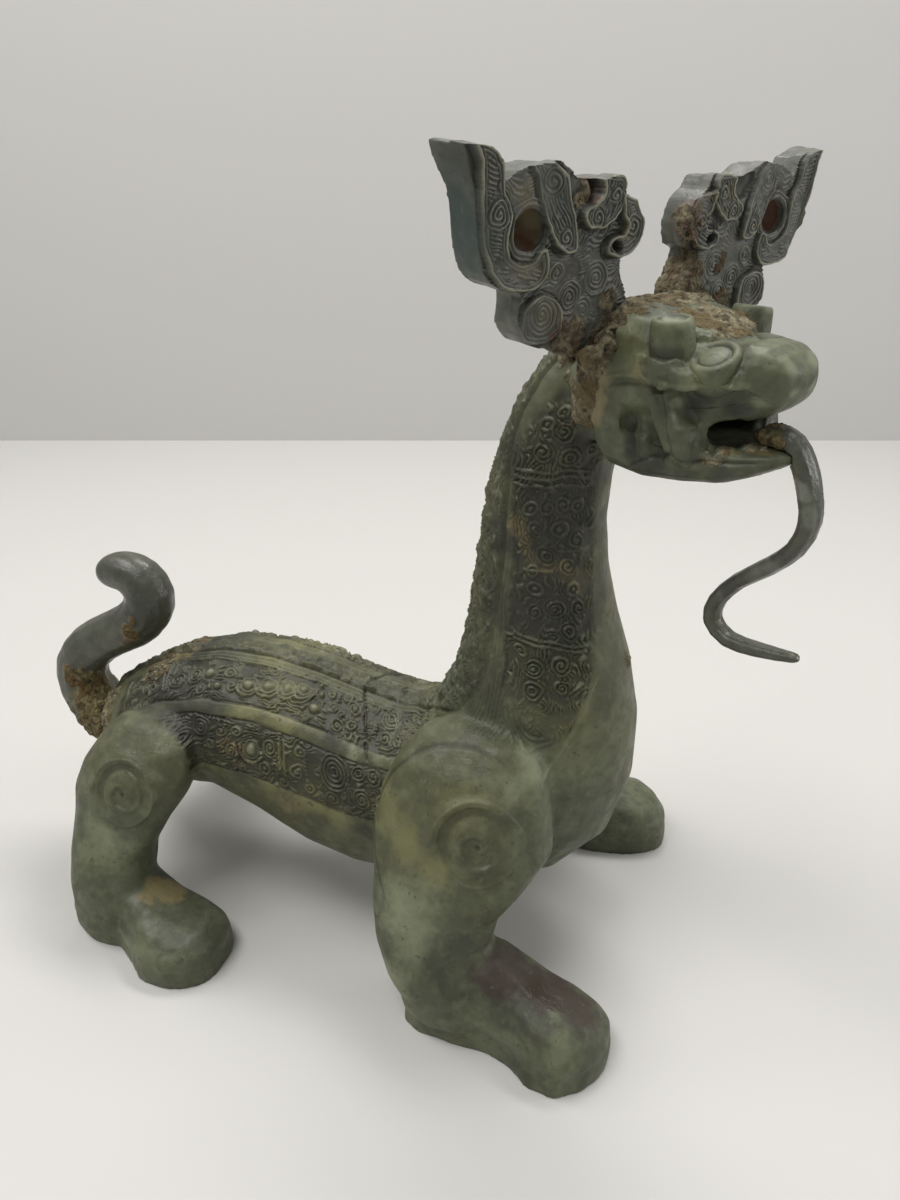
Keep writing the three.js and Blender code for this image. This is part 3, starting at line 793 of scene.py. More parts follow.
# Patches of colour: places in the beast's frame, on the unrolled skin of trunk and neck, and
# in the head's frame. Each ends in a radius and a strength.
PATCHES = {
    "crust": ((-252, -12, 84, 12, 0.8), (-253, 8, 88, 12, 0.7), (-5, 0, 145, 5, 0.9)),
    "tan": ((-200, -62, 25, 13, 0.9), (-205, -74, 27, 8, 0.8), (-142, -44, 74, 9, 0.5)),
    "olive": (
        (-89, -60, 90, 14, 0.8), (-79, -66, 82, 14, 1.0), (-67, -68, 77, 12, 1.0),
        (-92, -56, 96, 11, 0.7), (-56, -66, 106, 22, 0.5), (-45, -66, 62, 14, 0.4),
        (-96, -50, 92, 12, 0.6),
    ),
    "pale": (
        (-35, -47, 117, 13, 0.7), (-41, -55, 111, 12, 0.5), (-76, -76, 55, 24, 0.7),
        (-70, -72, 66, 18, 0.4), (-82, -80, 26, 15, 0.7), (-222, -66, 52, 16, 0.6),
        (-238, -60, 78, 15, 0.4), (-7, -89, 19, 12, 0.4), (-230, -62, 62, 14, 0.4),
        # (-12, -14, 150) is a painted highlight on the breast's front edge
        (-195, -88, 10, 12, 0.4), (-12, -14, 150, 14, 0.3),
    ),
    "dark": (
        (-57, -83, 36, 15, 0.6), (-52, -74, 46, 13, 0.6), (-26, -72, 26, 36, 0.7),
        (-4, -78, 14, 20, 0.5), (-30, -34, 126, 14, 0.5), (1, -30, 100, 24, 0.4),
        (10, -20, 80, 22, 0.4), (12, -88, 6, 12, 0.7), (-180, -74, 14, 20, 0.7),
        (-192, -70, 34, 10, 0.4), (-214, -60, 92, 10, 0.5), (-60, -70, 10, 20, 0.5),
    ),
    "copper": (
        (-17, -70, 30, 25, 1.0), (-33, -69, 37, 20, 1.0), (-4, -72, 24, 16, 0.9),
        (-178, -70, 28, 9, 0.4),
    ),
}
POLISHED = (
    (-214, -62, 94, 13, 1.0), (-20, -74, 30, 17, 0.9), (-52, -80, 44, 12, 0.7),
    (-220, -60, 68, 10, 0.5), (-46, -62, 116, 12, 0.5), (-176, -72, 28, 12, 0.5),
    (8, -24, 120, 16, 0.5),
)
SKIN_PATCHES = {
    "crust": (
        (44, 12, 9, 0.6), (98, 56, 5, 0.6), (403, 44, 11, 0.9), (412, 30, 12, 0.9),
        (396, 54, 8, 0.8),
    ),
    "tan": (
        (46, 9, 13, 0.9), (60, 7, 9, 0.6), (96, 56, 9, 0.7), (176, 42, 5, 0.6), (340, 27, 5, 0.6),
        (341, 30, 7, 0.75), (339, 34, 7, 0.75), (337, 38, 7, 0.75), (335.5, 42, 7, 0.75),
        (334, 46, 7, 0.75), (332.5, 50, 7, 0.7), (331, 54, 7, 0.7), (329.5, 58, 7, 0.65),
        (176, 47, 5, 0.5), (402, 46, 12, 0.9), (408, 34, 12, 0.9), (398, 56, 9, 0.8),
        (392, 48, 8, 0.6),
    ),
    "olive": (
        (103, 10, 13, 0.8), (112, 20, 17, 1.0), (105, 33, 14, 1.0), (122, 34, 12, 0.9),
        (128, 27, 8, 0.6), (125, 52, 9, 0.5), (108, 60, 9, 0.6), (135, 66, 14, 1.0),
        (150, 70, 12, 0.8), (120, 68, 10, 0.8), (171, 56, 10, 1.0), (177, 47, 9, 0.9),
        (182, 62, 12, 0.9), (112, 28, 20, 0.9), (126, 50, 14, 0.8), (190, 24, 16, 0.5),
        (276, 70, 16, 0.6), (292, 66, 12, 0.5), (236, 44, 14, 0.5), (184, 38, 9, 0.6),
    ),
    "pale": ((158, 36.5, 7, 0.9), (174, 20, 12, 0.6), (171, 35, 6, 0.5), (138, 24, 12, 0.4)),
    "dark": (
        (56, 24, 24, 0.9), (70, 30, 20, 0.8), (78, 46, 20, 0.9), (88, 38, 12, 0.7),
        (150, 48, 13, 0.7), (159, 57, 9, 0.6), (136, 46, 9, 0.5), (142, 20, 11, 0.4),
        (160, 30, 5, 0.6), (96, 66, 12, 0.7), (352, 44, 34, 0.9), (318, 52, 32, 0.8),
        (340, 28, 20, 0.9), (306, 36, 20, 0.8), (276, 40, 18, 0.6), (370, 20, 16, 0.8),
        (352, 64, 16, 0.7), (330, 68, 14, 0.6), (374, 58, 14, 0.7), (66, 37, 16, 1.0),
        (82, 37, 13, 1.0), (62, 8, 18, 0.9), (80, 9, 13, 0.7), (146, 37, 10, 0.8),
        (290, 58, 18, 0.5), (300, 84, 22, 0.4), (264, 48, 14, 0.4), (164, 72, 12, 0.6),
        (380, 40, 16, 0.6),
    ),
    "copper": (
        (155, 17, 5, 1.0), (156, 24, 4, 0.9), (152, 10, 4, 0.6), (262, 28, 7, 0.6),
        (270, 22, 6, 0.5),
    ),
}
HEAD_PATCHES = {
    "crust": (
        (30, -21, 264, 9, 1.0), (27, -20, 256, 8, 1.0), (23, -15, 248, 8, 1.0),
        (34, -21, 273, 8, 1.0), (30, 21, 264, 9, 0.9), (26, 18, 254, 8, 0.8),
        (82, -13, 250, 4, 0.9), (88, -7, 250.5, 5, 1.0), (78, -15, 250, 3, 0.8),
        (88, 7, 250.5, 5, 0.7), (45, 2, 285, 12, 1.0), (58, 0, 284, 11, 1.0),
        (68, -2, 283, 8, 1.0), (40, 12, 284, 14, 1.0), (38, -12, 283, 9, 1.0),
        (63, 9, 284, 10, 0.8),
    ),
    "tan": (
        (31, -22, 258, 14, 0.9), (35, -21, 270, 12, 0.9), (58, -23, 274, 7, 0.7),
        (70, -20, 275, 5, 0.8), (88, -6, 252, 7, 1.0), (66, -6, 283, 9, 0.8),
        (80, -13, 251, 4, 0.9),
    ),
    "olive": (
        (56, -24, 276, 12, 0.6), (72, -22, 273, 8, 0.5), (47, -22, 282, 9, 0.6),
        (64, -16, 270, 6, 0.4),
    ),
    "pale": (
        (48, -22, 285, 8, 0.9), (44, -20, 288, 7, 0.6), (93, -7, 278, 6, 0.7),
        # (62.5, -21, 290) on the eye stub's top is a painted highlight
        (90, -13, 268, 5, 0.8), (96, -5, 271, 4, 0.7), (62.5, -21, 290, 8, 0.7),
        (58, -24, 273, 12, 0.5), (74, -22, 272, 9, 0.5), (98, -4, 262, 8, 0.4),
        # (69, -24.5, 265.5) is a painted highlight on the band's upper part
        (69, -24.5, 265.5, 4, 1.0), (86, -14, 273, 6, 0.5),
    ),
    "dark": (
        # The first three dark places lie under the brow's ledge and are painted shade there
        (66, -20, 262, 10, 0.5), (76, -20, 263, 9, 0.9), (86, -15, 262, 8, 0.8),
        (52, -22, 248, 10, 0.7), (62, -22, 248, 8, 0.7), (60, -18, 240, 18, 0.8),
        # (62.5, -22, 281) low on the eye stub is painted shade on its side
        (80, -10, 244, 16, 0.9), (44, -22, 250, 12, 0.4), (62.5, -22, 281, 8, 0.6),
        (70, -16, 243, 14, 0.8), (92, -10, 247, 8, 0.7),
    ),
    "copper": ((89, -4, 254, 4, 0.6), (34, -22, 262, 5, 0.5)),
}


def unevenness(points):
    """The slow swells and small pits of a sand- or clay-cast skin."""
    return 0.16 * rough(points, 17, 21, 2) + 0.05 * noise(points, 3.4, 24)


def patch(points, name, skin_points, on_skin, head_points, blur, seed):
    """One mask from the places given in all three frames."""
    total = spots(points, PATCHES[name], blur, seed)
    flat = [(u, v, 0, *rest) for u, v, *rest in SKIN_PATCHES[name]]
    skin = spots(skin_points, flat, blur, seed + 1)
    both = [(f, hand * l, *rest) for f, l, *rest in HEAD_PATCHES[name] for hand in (1, -1)]
    head = spots(head_points, both, blur, seed + 2)
    return np.maximum(np.maximum(total, skin * on_skin), head)


def casting_height(points):
    """Height to move each point out by, and what the masks are made from."""
    height, tone, ground = body_relief(points)
    for more, shade in (legs_relief(points), head_relief(points)):
        height = height + more
        tone = tone + shade
    ring, angle, skin = body_place(points)
    on_skin = ramp(1.25, 1.1, skin)
    u, v = unrolled(ring, angle)
    where = (flat_points(u, v), on_skin, np.column_stack(head_place(points)))
    crust = patch(points, "crust", *where, 0.4, 50)
    grit = rough(points, 3.4, 31, 3)
    pits = np.clip(-noise(points, 2.2, 35) - 0.25, 0, 1)
    height = height * (1 - 0.7 * crust) + crust * (0.9 + 1.0 * grit - 1.2 * pits)
    height += unevenness(points)
    masks = {"crust": crust, "tone": tone * (1 - 0.6 * crust) - crust * pits, "ground": ground}
    return height, masks, where, u


def casting_masks(points):
    """The masks that colour the casting."""
    _, masks, where, u = casting_height(points)
    for i, (name, blur) in enumerate((
        ("tan", 0.6), ("olive", 0.8), ("pale", 0.85), ("dark", 0.85), ("copper", 0.7),
    )):
        masks[name] = patch(points, name, *where, blur, 60 + 4 * i)
    x, y, z = points.T
    trunk = where[1] * np.maximum(ramp(214, 190, u), 0.7 * ramp(240, 290, u))
    masks["polish"] = spots(points, POLISHED, 0.9, 58)
    shoulder = 0.7 * ramp(60, 76, z) * ramp(-20, -50, x) * ramp(130, 120, z)
    masks["warm"] = np.maximum(trunk, shoulder)
    return masks


def stub_surface(points):
    """Stub or disc top: paler on its worn rim, darker in its grooves, with painted shade low down
    its side.
    """
    forward, left, up = head_place(points)
    masks = casting_masks(points)
    tone = np.zeros(len(points))
    for _, profile, place, lean in ROUND_PIECES:
        turn = math.radians(lean)
        side, lift = np.abs(left) - place[1], up - place[2]
        rise = side * math.sin(turn) + lift * math.cos(turn)
        away = np.hypot(forward - place[0], side * math.cos(turn) - lift * math.sin(turn))
        is_stub = lean == STUB_LEAN
        here = ramp(10.5, 9.8, away) * (forward < 69 if is_stub else forward >= 66)
        grooves = bar(away - 4.2, 2.2) if is_stub else bar(away - 5.1, 1.5)
        tone += here * ramp(-2.5, -1, rise) * (0.5 * bar(away - 7.0, 2.4) - 0.9 * grooves)
        # Painted shade on the lower side and foot
        tone -= 0.6 * here * ramp(-5, -8, rise)
    masks.update(tone=tone, ground=np.zeros(len(points)), crust=masks["crust"] * 0.5)
    return 0.14 * rough(points, 6, 27, 3), masks


def raise_surface(mesh, surface):
    """Moves every vertex along its normal by the surface's height."""
    points = beast_points(mesh)
    height = surface(points)[0]
    set_points(mesh, points + vertex_normals(mesh) * height[:, None])


def turned(name, profile, place, lean):
    """A closed round piece: its half outline (radius, height) is spun about its own axis, leant
    sideways by some degrees and set at a place on the head."""
    form = bmesh.new()
    corners = [form.verts.new((radius / 1000, 0, height / 1000)) for radius, height in profile]
    line = [form.edges.new(pair) for pair in zip(corners[:-1], corners[1:])]
    bmesh.ops.spin(
        form, geom=[*corners, *line], cent=(0, 0, 0), axis=(0, 0, 1), angle=2 * math.pi,
        steps=SPIN_STEPS, use_merge=True,
    )
    bmesh.ops.remove_doubles(form, verts=form.verts, dist=SAME_PLACE)
    long = [edge for edge in form.edges if edge.calc_length() > LONG_EDGE]
    bmesh.ops.subdivide_edges(form, edges=long, cuts=5, use_grid_fill=True)
    bmesh.ops.recalc_face_normals(form, faces=form.faces)
    leant = Matrix.Rotation(math.radians(lean), 4, "X")
    heading = Matrix.Rotation(-HEAD_TURN, 4, "Z")
    where = Matrix.Translation(place_in_scene(from_head(place)))
    bmesh.ops.transform(form, matrix=where @ heading @ leant, verts=form.verts)
    return piece_of(form, name)


def finish_piece(piece, masks, material):
    """Stores the masks, shades the faces smooth, and sets the finish and the body."""
    paint(piece.data, masks)
    smooth_faces(piece.data)
    piece.data.materials.append(material)
    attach(piece, "root")


def divide_where(mesh, wanted):
    """Halves the edges of the faces whose corners are all wanted."""
    form = bmesh.new()
    form.from_mesh(mesh)
    form.verts.ensure_lookup_table()
    edges = [e for e in form.edges if wanted[e.verts[0].index] and wanted[e.verts[1].index]]
    bmesh.ops.subdivide_edges(form, edges=edges, cuts=1, use_grid_fill=True, smooth=0)
    form.to_mesh(mesh)
    form.free()


# Finish


def linear(code):
    """An sRGB hex colour as the linear values that the shader takes."""
    values = [int(code[i:i + 2], 16) / 255 for i in (1, 3, 5)]
    return [v / 12.92 if v <= 0.04045 else ((v + 0.055) / 1.055) ** 2.4 for v in values] + [1.0]


def add(tree, kind, inputs=None, **settings):
    """Adds one node with its settings, its values and its links."""
    node = tree.nodes.new(kind)
    for name, value in settings.items():
        setattr(node, name, value)
    for name, value in (inputs or {}).items():
        if isinstance(value, bpy.types.NodeSocket):
            tree.links.new(value, node.inputs[name])
        else:
            node.inputs[name].default_value = value
    return node


def per_metre(millimetres):
    """Noise scale whose pattern repeats at about that size."""
    return 1000 / millimetres


def bronze_patina(name, shades, shine):
    """Cast bronze under a mineral patina: dull green-grey film, glossier where handled,
    with dry porous crust that scatters light."""
    material = bpy.data.materials.new(name)
    material.use_nodes = True
    tree = material.node_tree
    tree.nodes.clear()
    place = add(tree, "ShaderNodeTexCoord").outputs["Object"]

    def cloud(size, low, high, detail=3.0, seed=0.0):
        """Noise of about that many millimetres as a factor from 0 to 1."""
        shifted = add(tree, "ShaderNodeMapping", {"Vector": place, "Location": (seed, seed, seed)})
        grey = add(tree, "ShaderNodeTexNoise", {
            "Vector": shifted.outputs["Vector"], "Scale": per_metre(size), "Detail": detail,
        })
        ramped = add(tree, "ShaderNodeMapRange", {
            "Value": grey.outputs["Fac"], "From Min": low, "From Max": high,
        }, interpolation_type="SMOOTHSTEP")
        return ramped.outputs["Result"]

    def mask(attribute, low, high, ragged=0.0):
        """An attribute as a factor from 0 to 1, its edge broken by fine noise."""
        value = add(tree, "ShaderNodeAttribute", attribute_name=attribute).outputs["Fac"]
        if ragged:
            broken = add(tree, "ShaderNodeMath", {
                0: cloud(3.0, 0.3, 0.7, 4.0, 3.0), 1: ragged,
                2: value,
            }, operation="MULTIPLY_ADD")
            value = broken.outputs["Value"]
            low, high = low + ragged / 2, high + ragged / 2
        ramped = add(tree, "ShaderNodeMapRange", {
            "Value": value, "From Min": low, "From Max": high,
        }, interpolation_type="SMOOTHSTEP")
        return ramped.outputs["Result"]

    # Sockets of a colour mix: factor, first and second colour, and its result
    crust = mask("crust", 0.25, 0.6, 0.4)
    gritty = linear(shades["crust_dark"])
    for cover, shade in (
        (cloud(2.6, 0.3, 0.7, 8.0, 7.0), "crust_light"),
        (cloud(11.0, 0.48, 0.62, 6.0, 9.0), "crust_rust"),
        (mask("tone", -0.15, -0.8), "groove"),
    ):
        gritty = add(tree, "ShaderNodeMix", {
            0: cover, 6: gritty, 7: linear(shades[shade]),
        }, data_type="RGBA").outputs[2]

    # From the metal outwards: finish, how far it covers, and its greatest share
    layers = (
        ("light", cloud(34, 0.42, 0.68, 4.0), 0.8),
        ("warm", mask("warm", 0.0, 1.0), 0.8),
        ("deep", cloud(16, 0.46, 0.72, 5.0, 1.0), 0.65),
        ("light", cloud(9.0, 0.5, 0.66, 8.0, 17.0), 0.35),
        ("deep", cloud(9.0, 0.5, 0.66, 8.0, 19.0), 0.4),
        ("light", cloud(5.5, 0.5, 0.7, 10.0, 11.0), 0.3),
        ("deep", cloud(3.6, 0.5, 0.68, 8.0, 13.0), 0.35),
        ("olive", mask("olive", 0.0, 1.0, 0.15), 0.65),
        # Besides patina, the pale, dark, tan and tone masks also carry painted highlights and
        # painted shade
        ("pale", mask("pale", 0.05, 1.0, 0.15), 0.7),
        ("dark", mask("dark", 0.05, 1.0, 0.2), 0.85),
        ("tan", mask("tan", 0.1, 1.0, 0.3), 0.75),
        ("copper", mask("copper", 0.1, 0.95, 0.25), 0.85),
        ("deep", mask("ground", 0.1, 0.9), 0.3),
        ("groove", mask("tone", -0.1, -0.95), 0.7),
        ("ridge", mask("tone", 0.2, 0.95), shades["ridge_share"]),
        ("speck", cloud(2.4, 0.64, 0.72, 4.0, 5.0), 0.6),
        ("pale", cloud(4.2, 0.62, 0.76, 10.0, 15.0), 0.18),
    )
    colour = linear(shades["base"])
    for shade, cover, share in layers:
        part = add(tree, "ShaderNodeMath", {0: cover, 1: share}, operation="MULTIPLY")
        colour = add(tree, "ShaderNodeMix", {
            0: part.outputs["Value"], 6: colour, 7: linear(shades[shade]),
        }, data_type="RGBA").outputs[2]
    colour = add(tree, "ShaderNodeMix", {
        0: crust, 6: colour, 7: gritty,
    }, data_type="RGBA").outputs[2]

    dull = add(tree, "ShaderNodeMapRange", {
        "Value": cloud(6.0, 0.3, 0.7, 8.0, 2.0), "To Min": shine, "To Max": shine + 0.24,
    }).outputs["Result"]
    on_ground, polish = mask("ground", 0.0, 1.0), mask("polish", 0.1, 0.9)
    dull = add(tree, "ShaderNodeMix", {0: on_ground, 2: dull, 3: 0.5}).outputs[0]
    polished = add(tree, "ShaderNodeMix", {0: polish, 2: dull, 3: 0.22}).outputs[0]
    smooth = mask("ground", 0.6, 0.1)
    dull = add(tree, "ShaderNodeMix", {0: smooth, 2: dull, 3: polished}).outputs[0]
    dull = add(tree, "ShaderNodeMix", {0: crust, 2: dull, 3: 0.95}).outputs[0]

    fine = add(tree, "ShaderNodeBump", {
        "Height": cloud(1.1, 0.2, 0.8, 4.0, 4.0), "Strength": 0.16, "Distance": 0.0004,
    }).outputs["Normal"]
    fine = add(tree, "ShaderNodeBump", {
        "Height": cloud(5.0, 0.1, 0.9, 6.0, 8.0), "Strength": 0.5, "Distance": 0.0005,
        "Normal": fine,
    }).outputs["Normal"]
    grit = add(tree, "ShaderNodeMath", {
        0: crust, 1: cloud(1.5, 0.3, 0.7, 8.0, 6.0),
    }, operation="MULTIPLY")
    coarse = add(tree, "ShaderNodeBump", {
        "Height": grit.outputs["Value"], "Strength": 0.9, "Distance": 0.001, "Normal": fine,
    }).outputs["Normal"]
    surface = add(tree, "ShaderNodeBsdfPrincipled", {
        "Base Color": colour, "Roughness": dull, "Normal": coarse, "Metallic": 0.0,
    })
    add(tree, "ShaderNodeOutputMaterial", {"Surface": surface.outputs["BSDF"]})
    return material


SHADE_NAMES = (
    "base", "warm", "light", "deep", "olive", "pale", "dark", "tan",
    "copper", "groove", "ridge", "speck", "crust_dark", "crust_light", "crust_rust",
)


def shades_of(ridge_share, codes):
    """Named sRGB hex colours of a finish, and how pale its ridges are rubbed."""
    return {"ridge_share": ridge_share, **dict(zip(SHADE_NAMES, codes.split()))}


GREEN_SHADES = shades_of(0.45, """
    #4c513c #504f33 #6b7054 #3a3c29 #76754b #8d9275 #2c2d25 #80734e
    #33271e #1e1c14 #84846a #2b2d24 #463f2c #938a6e #6a5c3d
""")
HORN_SHADES = shades_of(0.6, """
    #50544a #50544a #626458 #3a3c34 #6f6c47 #8f8d80 #2f3e3b #6f6545
    #5c3320 #191a15 #98967f #2a2a24 #40382a #857b62 #57452f
""")
DARK_SHADES = shades_of(0.3, """
    #434539 #434539 #525447 #36382d #66644a #85877a #2c2d26 #75683f
    #4b3220 #1f1e18 #77775e #2b2d24 #4a4029 #8a7d57 #63502e
""")


class DRAGON_sizes(bpy.types.PropertyGroup):
    """Sizes and colours that a user would change."""

    casting_grain: bpy.props.FloatProperty(
        name="Casting grain", description="Spacing of the casting's mesh before its relief",
        default=0.0012, unit="LENGTH",
    )
    head_grain: bpy.props.FloatProperty(
        name="Head grain", description="Spacing of the head's mesh",
        default=0.00068, unit="LENGTH",
    )
    horn_grain: bpy.props.FloatProperty(
        name="Horn grain", description="Spacing of the horns' mesh before their relief",
        default=0.00062, unit="LENGTH",
    )
    table: bpy.props.FloatVectorProperty(
        name="Table", description="Colour of the pale board under the dragon",
        default=linear("#c8c7c3")[:3], subtype="COLOR", size=3, min=0, max=1,
    )
    wall: bpy.props.FloatVectorProperty(
        name="Wall", description="Colour of the wall behind it",
        default=linear("#c1c0be")[:3], subtype="COLOR", size=3, min=0, max=1,
    )


def carved_places(points):
    """Where the casting's mesh is divided to carry its relief."""
    ring, angle, skin = body_place(points)
    x, y, z = points.T
    carved = (np.abs(skin - 1) < 0.14) & (angle < 148) & (ring > 1)
    carved &= ~((ring < 11) & (angle > 104))
    for centre, radius in SPIRAL_PLACES:
        carved |= (np.hypot(x - centre[0], z - centre[1]) < radius + 4) & (np.abs(y) > 40)
    return carved


class DRAGON_OT_casting(bpy.types.Operator):
    """Body, neck, head and legs with their relief. The mesh is parted at the joint seen across
    the bands and at the crusted neck, so that each part carries relief within its limit."""

    bl_idname = "dragon.casting"
    bl_label = "Casting"

    def execute(self, context):
        sizes = context.scene.dragon_sizes
        coarse = 1
        whole = remeshed(copy_of("casting", "casting_whole"), sizes.casting_grain * coarse)
        forward, left, up = head_place(beast_points(whole.data))
        on_head = ramp(30, 36, forward) * ramp(234, 240, up)
        softened(whole.data, ROUNDS["casting"], 1 - on_head, soles=True)
        divide_where(whole.data, carved_places(beast_points(whole.data)))
        raise_surface(whole.data, casting_height)

        facing = (math.cos(HEAD_TURN), -math.sin(HEAD_TURN), 0)
        back = [-value for value in facing]
        hind, fore = (
            parted(whole.data, name, (CASTING_JOINT + way * LAP, 0, 80), (way, 0, 0), sink=SINK)
            for name, way in (("casting_hindquarters", 1), ("casting_forequarters", -1))
        )
        neck_cut = from_head((NECK_END, 0, 260))
        take(fore, parted(fore.data, "casting_headless", neck_cut, facing, CHIN_FOOT, SINK))
        bpy.data.objects.remove(whole)

        head = copy_of("casting", "casting_head")
        take(head, parted(head.data, "head_cut", from_head((NECK_END - 7.4, 0, 260)), back))
        take(head, parted(head.data, "head_cut", (0, 0, CHIN_FOOT - 4), (0, 0, -1)))
        remeshed(head, sizes.head_grain * coarse)
        softened(head.data, ROUNDS["head"])
        raise_surface(head.data, casting_height)
        head_cut = from_head((NECK_END - 1.8, 0, 260))
        take(head, parted(head.data, "head_cut", head_cut, back, sink=SINK))
        take(head, parted(head.data, "head_cut", (0, 0, CHIN_FOOT + 1), (0, 0, -1)))

        patina = bronze_patina("green_patina_on_cast_bronze", GREEN_SHADES, 0.42)
        for piece in (hind, fore, head):
            thinned(piece, MOST[piece.name])
            finish_piece(piece, casting_masks(beast_points(piece.data)), patina)
            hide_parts("casting")

        # Eye stubs and discs are crisper than the grain of the head
        for side, name in ((1, "left"), (-1, "right")):
            for kind, profile, (forward, out, up), lean in ROUND_PIECES:
                piece = turned(kind + name, profile, (forward, side * out, up), -side * lean)
                raise_surface(piece.data, stub_surface)
                finish_piece(piece, stub_surface(beast_points(piece.data))[1], patina)
        return {"FINISHED"}


# Horns. Outlines are outward from the mid-line and height, on the plates' front face.

# The plates' face: forward of the nape at the height of their foot, its lean, and how deep it
# is set behind the scrolls
HORN_FRONT = 41.0
HORN_FOOT = 290
HORN_LEAN = math.radians(3.7)
HORN_STEP = 2.4
LIMB = (
    (84.4, 335.6), (81.8, 331), (80.2, 324), (79.2, 318.1), (78.2, 313), (77, 308), (75.2, 304),
    (72.8, 301.1), (70, 298.9), (65.8, 297.6), (60.9, 297), (57.1, 297.6), (54.2, 299),
    (52.9, 301.2), (52.9, 304.4), (53.5, 307), (54.7, 308.5), (56.8, 307.5), (57.5, 305.6),
    (59.8, 304.5), (63.2, 304.5), (67.1, 306.5), (69, 309.1), (69.5, 311.6), (69.2, 313.5),
    (68.6, 315.9), (68, 318.1), (68.9, 320.8), (70.8, 322.6), (72, 325), (72.4, 327.9),
    (73.1, 330.8), (75.1, 333.2), (78.2, 334.6), (81.5, 335.4),
)
LIMB_OUTSIDE = ((298, 304, 313, 331), (70, 75.2, 78.2, 81.8))
ARCH_BAR = (
    (60.5, 331.7), (54.5, 331), (50.5, 329.3), (47.6, 326.6), (45.4, 321.5), (42.8, 315.1),
    (41.4, 310.4), (41.7, 307.4), (44.6, 306.6), (47.8, 307.4), (50.6, 309.5), (53.1, 312.8),
    (54.8, 317.4), (56.5, 320.5), (57.6, 323.6), (59, 326.7), (61, 329.5),
)
INNER_HOOK = (
    (32.6, 327.8), (25.5, 327.7), (23.3, 326.4), (22.7, 323.1), (22.9, 319.8), (23.6, 317.8),
    (26.9, 314.9), (30.4, 313), (34.6, 312.6), (38, 313.9), (39.4, 316.2), (38.2, 318.5),
    (34.8, 320), (32.3, 322.5),
)
INNER_LOBE = (
    (23.3, 321.8), (19.9, 321.6), (15.9, 320), (13.2, 316.8), (12.5, 312.6), (13.5, 308.5),
    (16.6, 305.8), (21.6, 304.5), (26.1, 304.7), (28, 307.1), (27, 309.8), (24.5, 311),
    (21.2, 311.2), (20.3, 313.6), (22.2, 316.4),
)
OUTER_LOBE = (
    (59.5, 282.5), (60.8, 289.5), (59.2, 293.6), (55.7, 295.4), (50.7, 295.3), (46.8, 293.1),
    (44.6, 289.5), (45.2, 284.5), (50, 281.5),
)
TOP_RECESS = (
    (45.6, 327.6), (44, 320.9), (40, 319.7), (34.8, 320.4), (32.9, 322.8), (33.2, 326.2),
    (37.2, 327.4),
)
LOBE_RECESS = ((26.4, 307.7), (25.2, 309.4), (21.8, 308.8), (21, 306.9), (23.4, 305.8))
# Raised scrolls: outline, eyes as place and radius, and the direction of their hatching
RAISED = (
    (LIMB, ((73.4, 318, 4.2),), 100), (ARCH_BAR, ((53, 325.8, 3.6), (46.8, 311.2, 2.8)), 150),
    (INNER_HOOK, ((33.7, 315.8, 3.2), (27, 322, 2.4)), 35),
    (INNER_LOBE, ((17.6, 313.4, 3.4),), 70), (OUTER_LOBE, ((52.8, 289.6, 6.2),), 20),
)
# Eyes on the plate's own face
PLATE_EYES = ((30, 298.8, 5.4), (41.2, 294, 5.2), (34.4, 289.8, 4.2), (47.5, 301.3, 3.4))
HORN_HOLE = ((66, 316), (60, 319), (54.5, 316.5), (54.8, 310.5), (60, 308), (65.5, 310))


def rounded(outline, steps=4):
    """A closed outline made smooth through its corners."""
    corners = np.array(outline, float)
    before, after = np.roll(corners, 1, axis=0), np.roll(corners, -1, axis=0)
    beyond = np.roll(corners, -2, axis=0)
    rows = []
    for step in range(steps):
        t = step / steps
        rows.append(
            0.5 * (2 * corners + (after - before) * t
                   + (2 * before - 5 * corners + 4 * after - beyond) * t**2
                   + (3 * corners - before - 3 * after + beyond) * t**3)
        )
    return np.stack(rows, axis=1).reshape(-1, 2)


def inset(u, v, outline):
    """Distance in from a closed outline; negative outside it."""
    ring = rounded(outline)
    nearest = np.full(len(u), 1e9)
    inside = np.zeros(len(u), bool)
    for (x0, y0), (x1, y1) in zip(ring, np.roll(ring, -1, axis=0)):
        dx, dy = x1 - x0, y1 - y0
        share = np.clip(((u - x0) * dx + (v - y0) * dy) / (dx * dx + dy * dy + 1e-12), 0, 1)
        nearest = np.minimum(nearest, np.hypot(u - x0 - share * dx, v - y0 - share * dy))
        if dy:
            inside ^= ((y0 > v) != (y1 > v)) & (u < x0 + (v - y0) * dx / dy)
    return np.where(inside, nearest, -nearest)


def horn_place(points):
    """How far in front of the plates' face, outward from the mid-line, and height."""
    forward, left, up = head_place(points)
    cos, sin = math.cos(HORN_LEAN), math.sin(HORN_LEAN)
    front = (forward - HORN_FRONT) * cos - (up - HORN_FOOT) * sin
    height = (forward - HORN_FRONT) * sin + (up - HORN_FOOT) * cos + HORN_FOOT
    return front, left, height


def hatch(u, v, pitch, turn, seed):
    """Short engraved strokes that swing about one direction."""
    place = flat_points(u, v)
    phase = (u * math.cos(math.radians(turn)) + v * math.sin(math.radians(turn))) / pitch
    phase = phase + 0.7 * noise(place, 7, seed + 1)
    strokes = bar(to_line(phase, pitch), pitch * 0.66)
    return strokes * ramp(-0.45, -0.1, noise(place, 1.9, seed + 2))


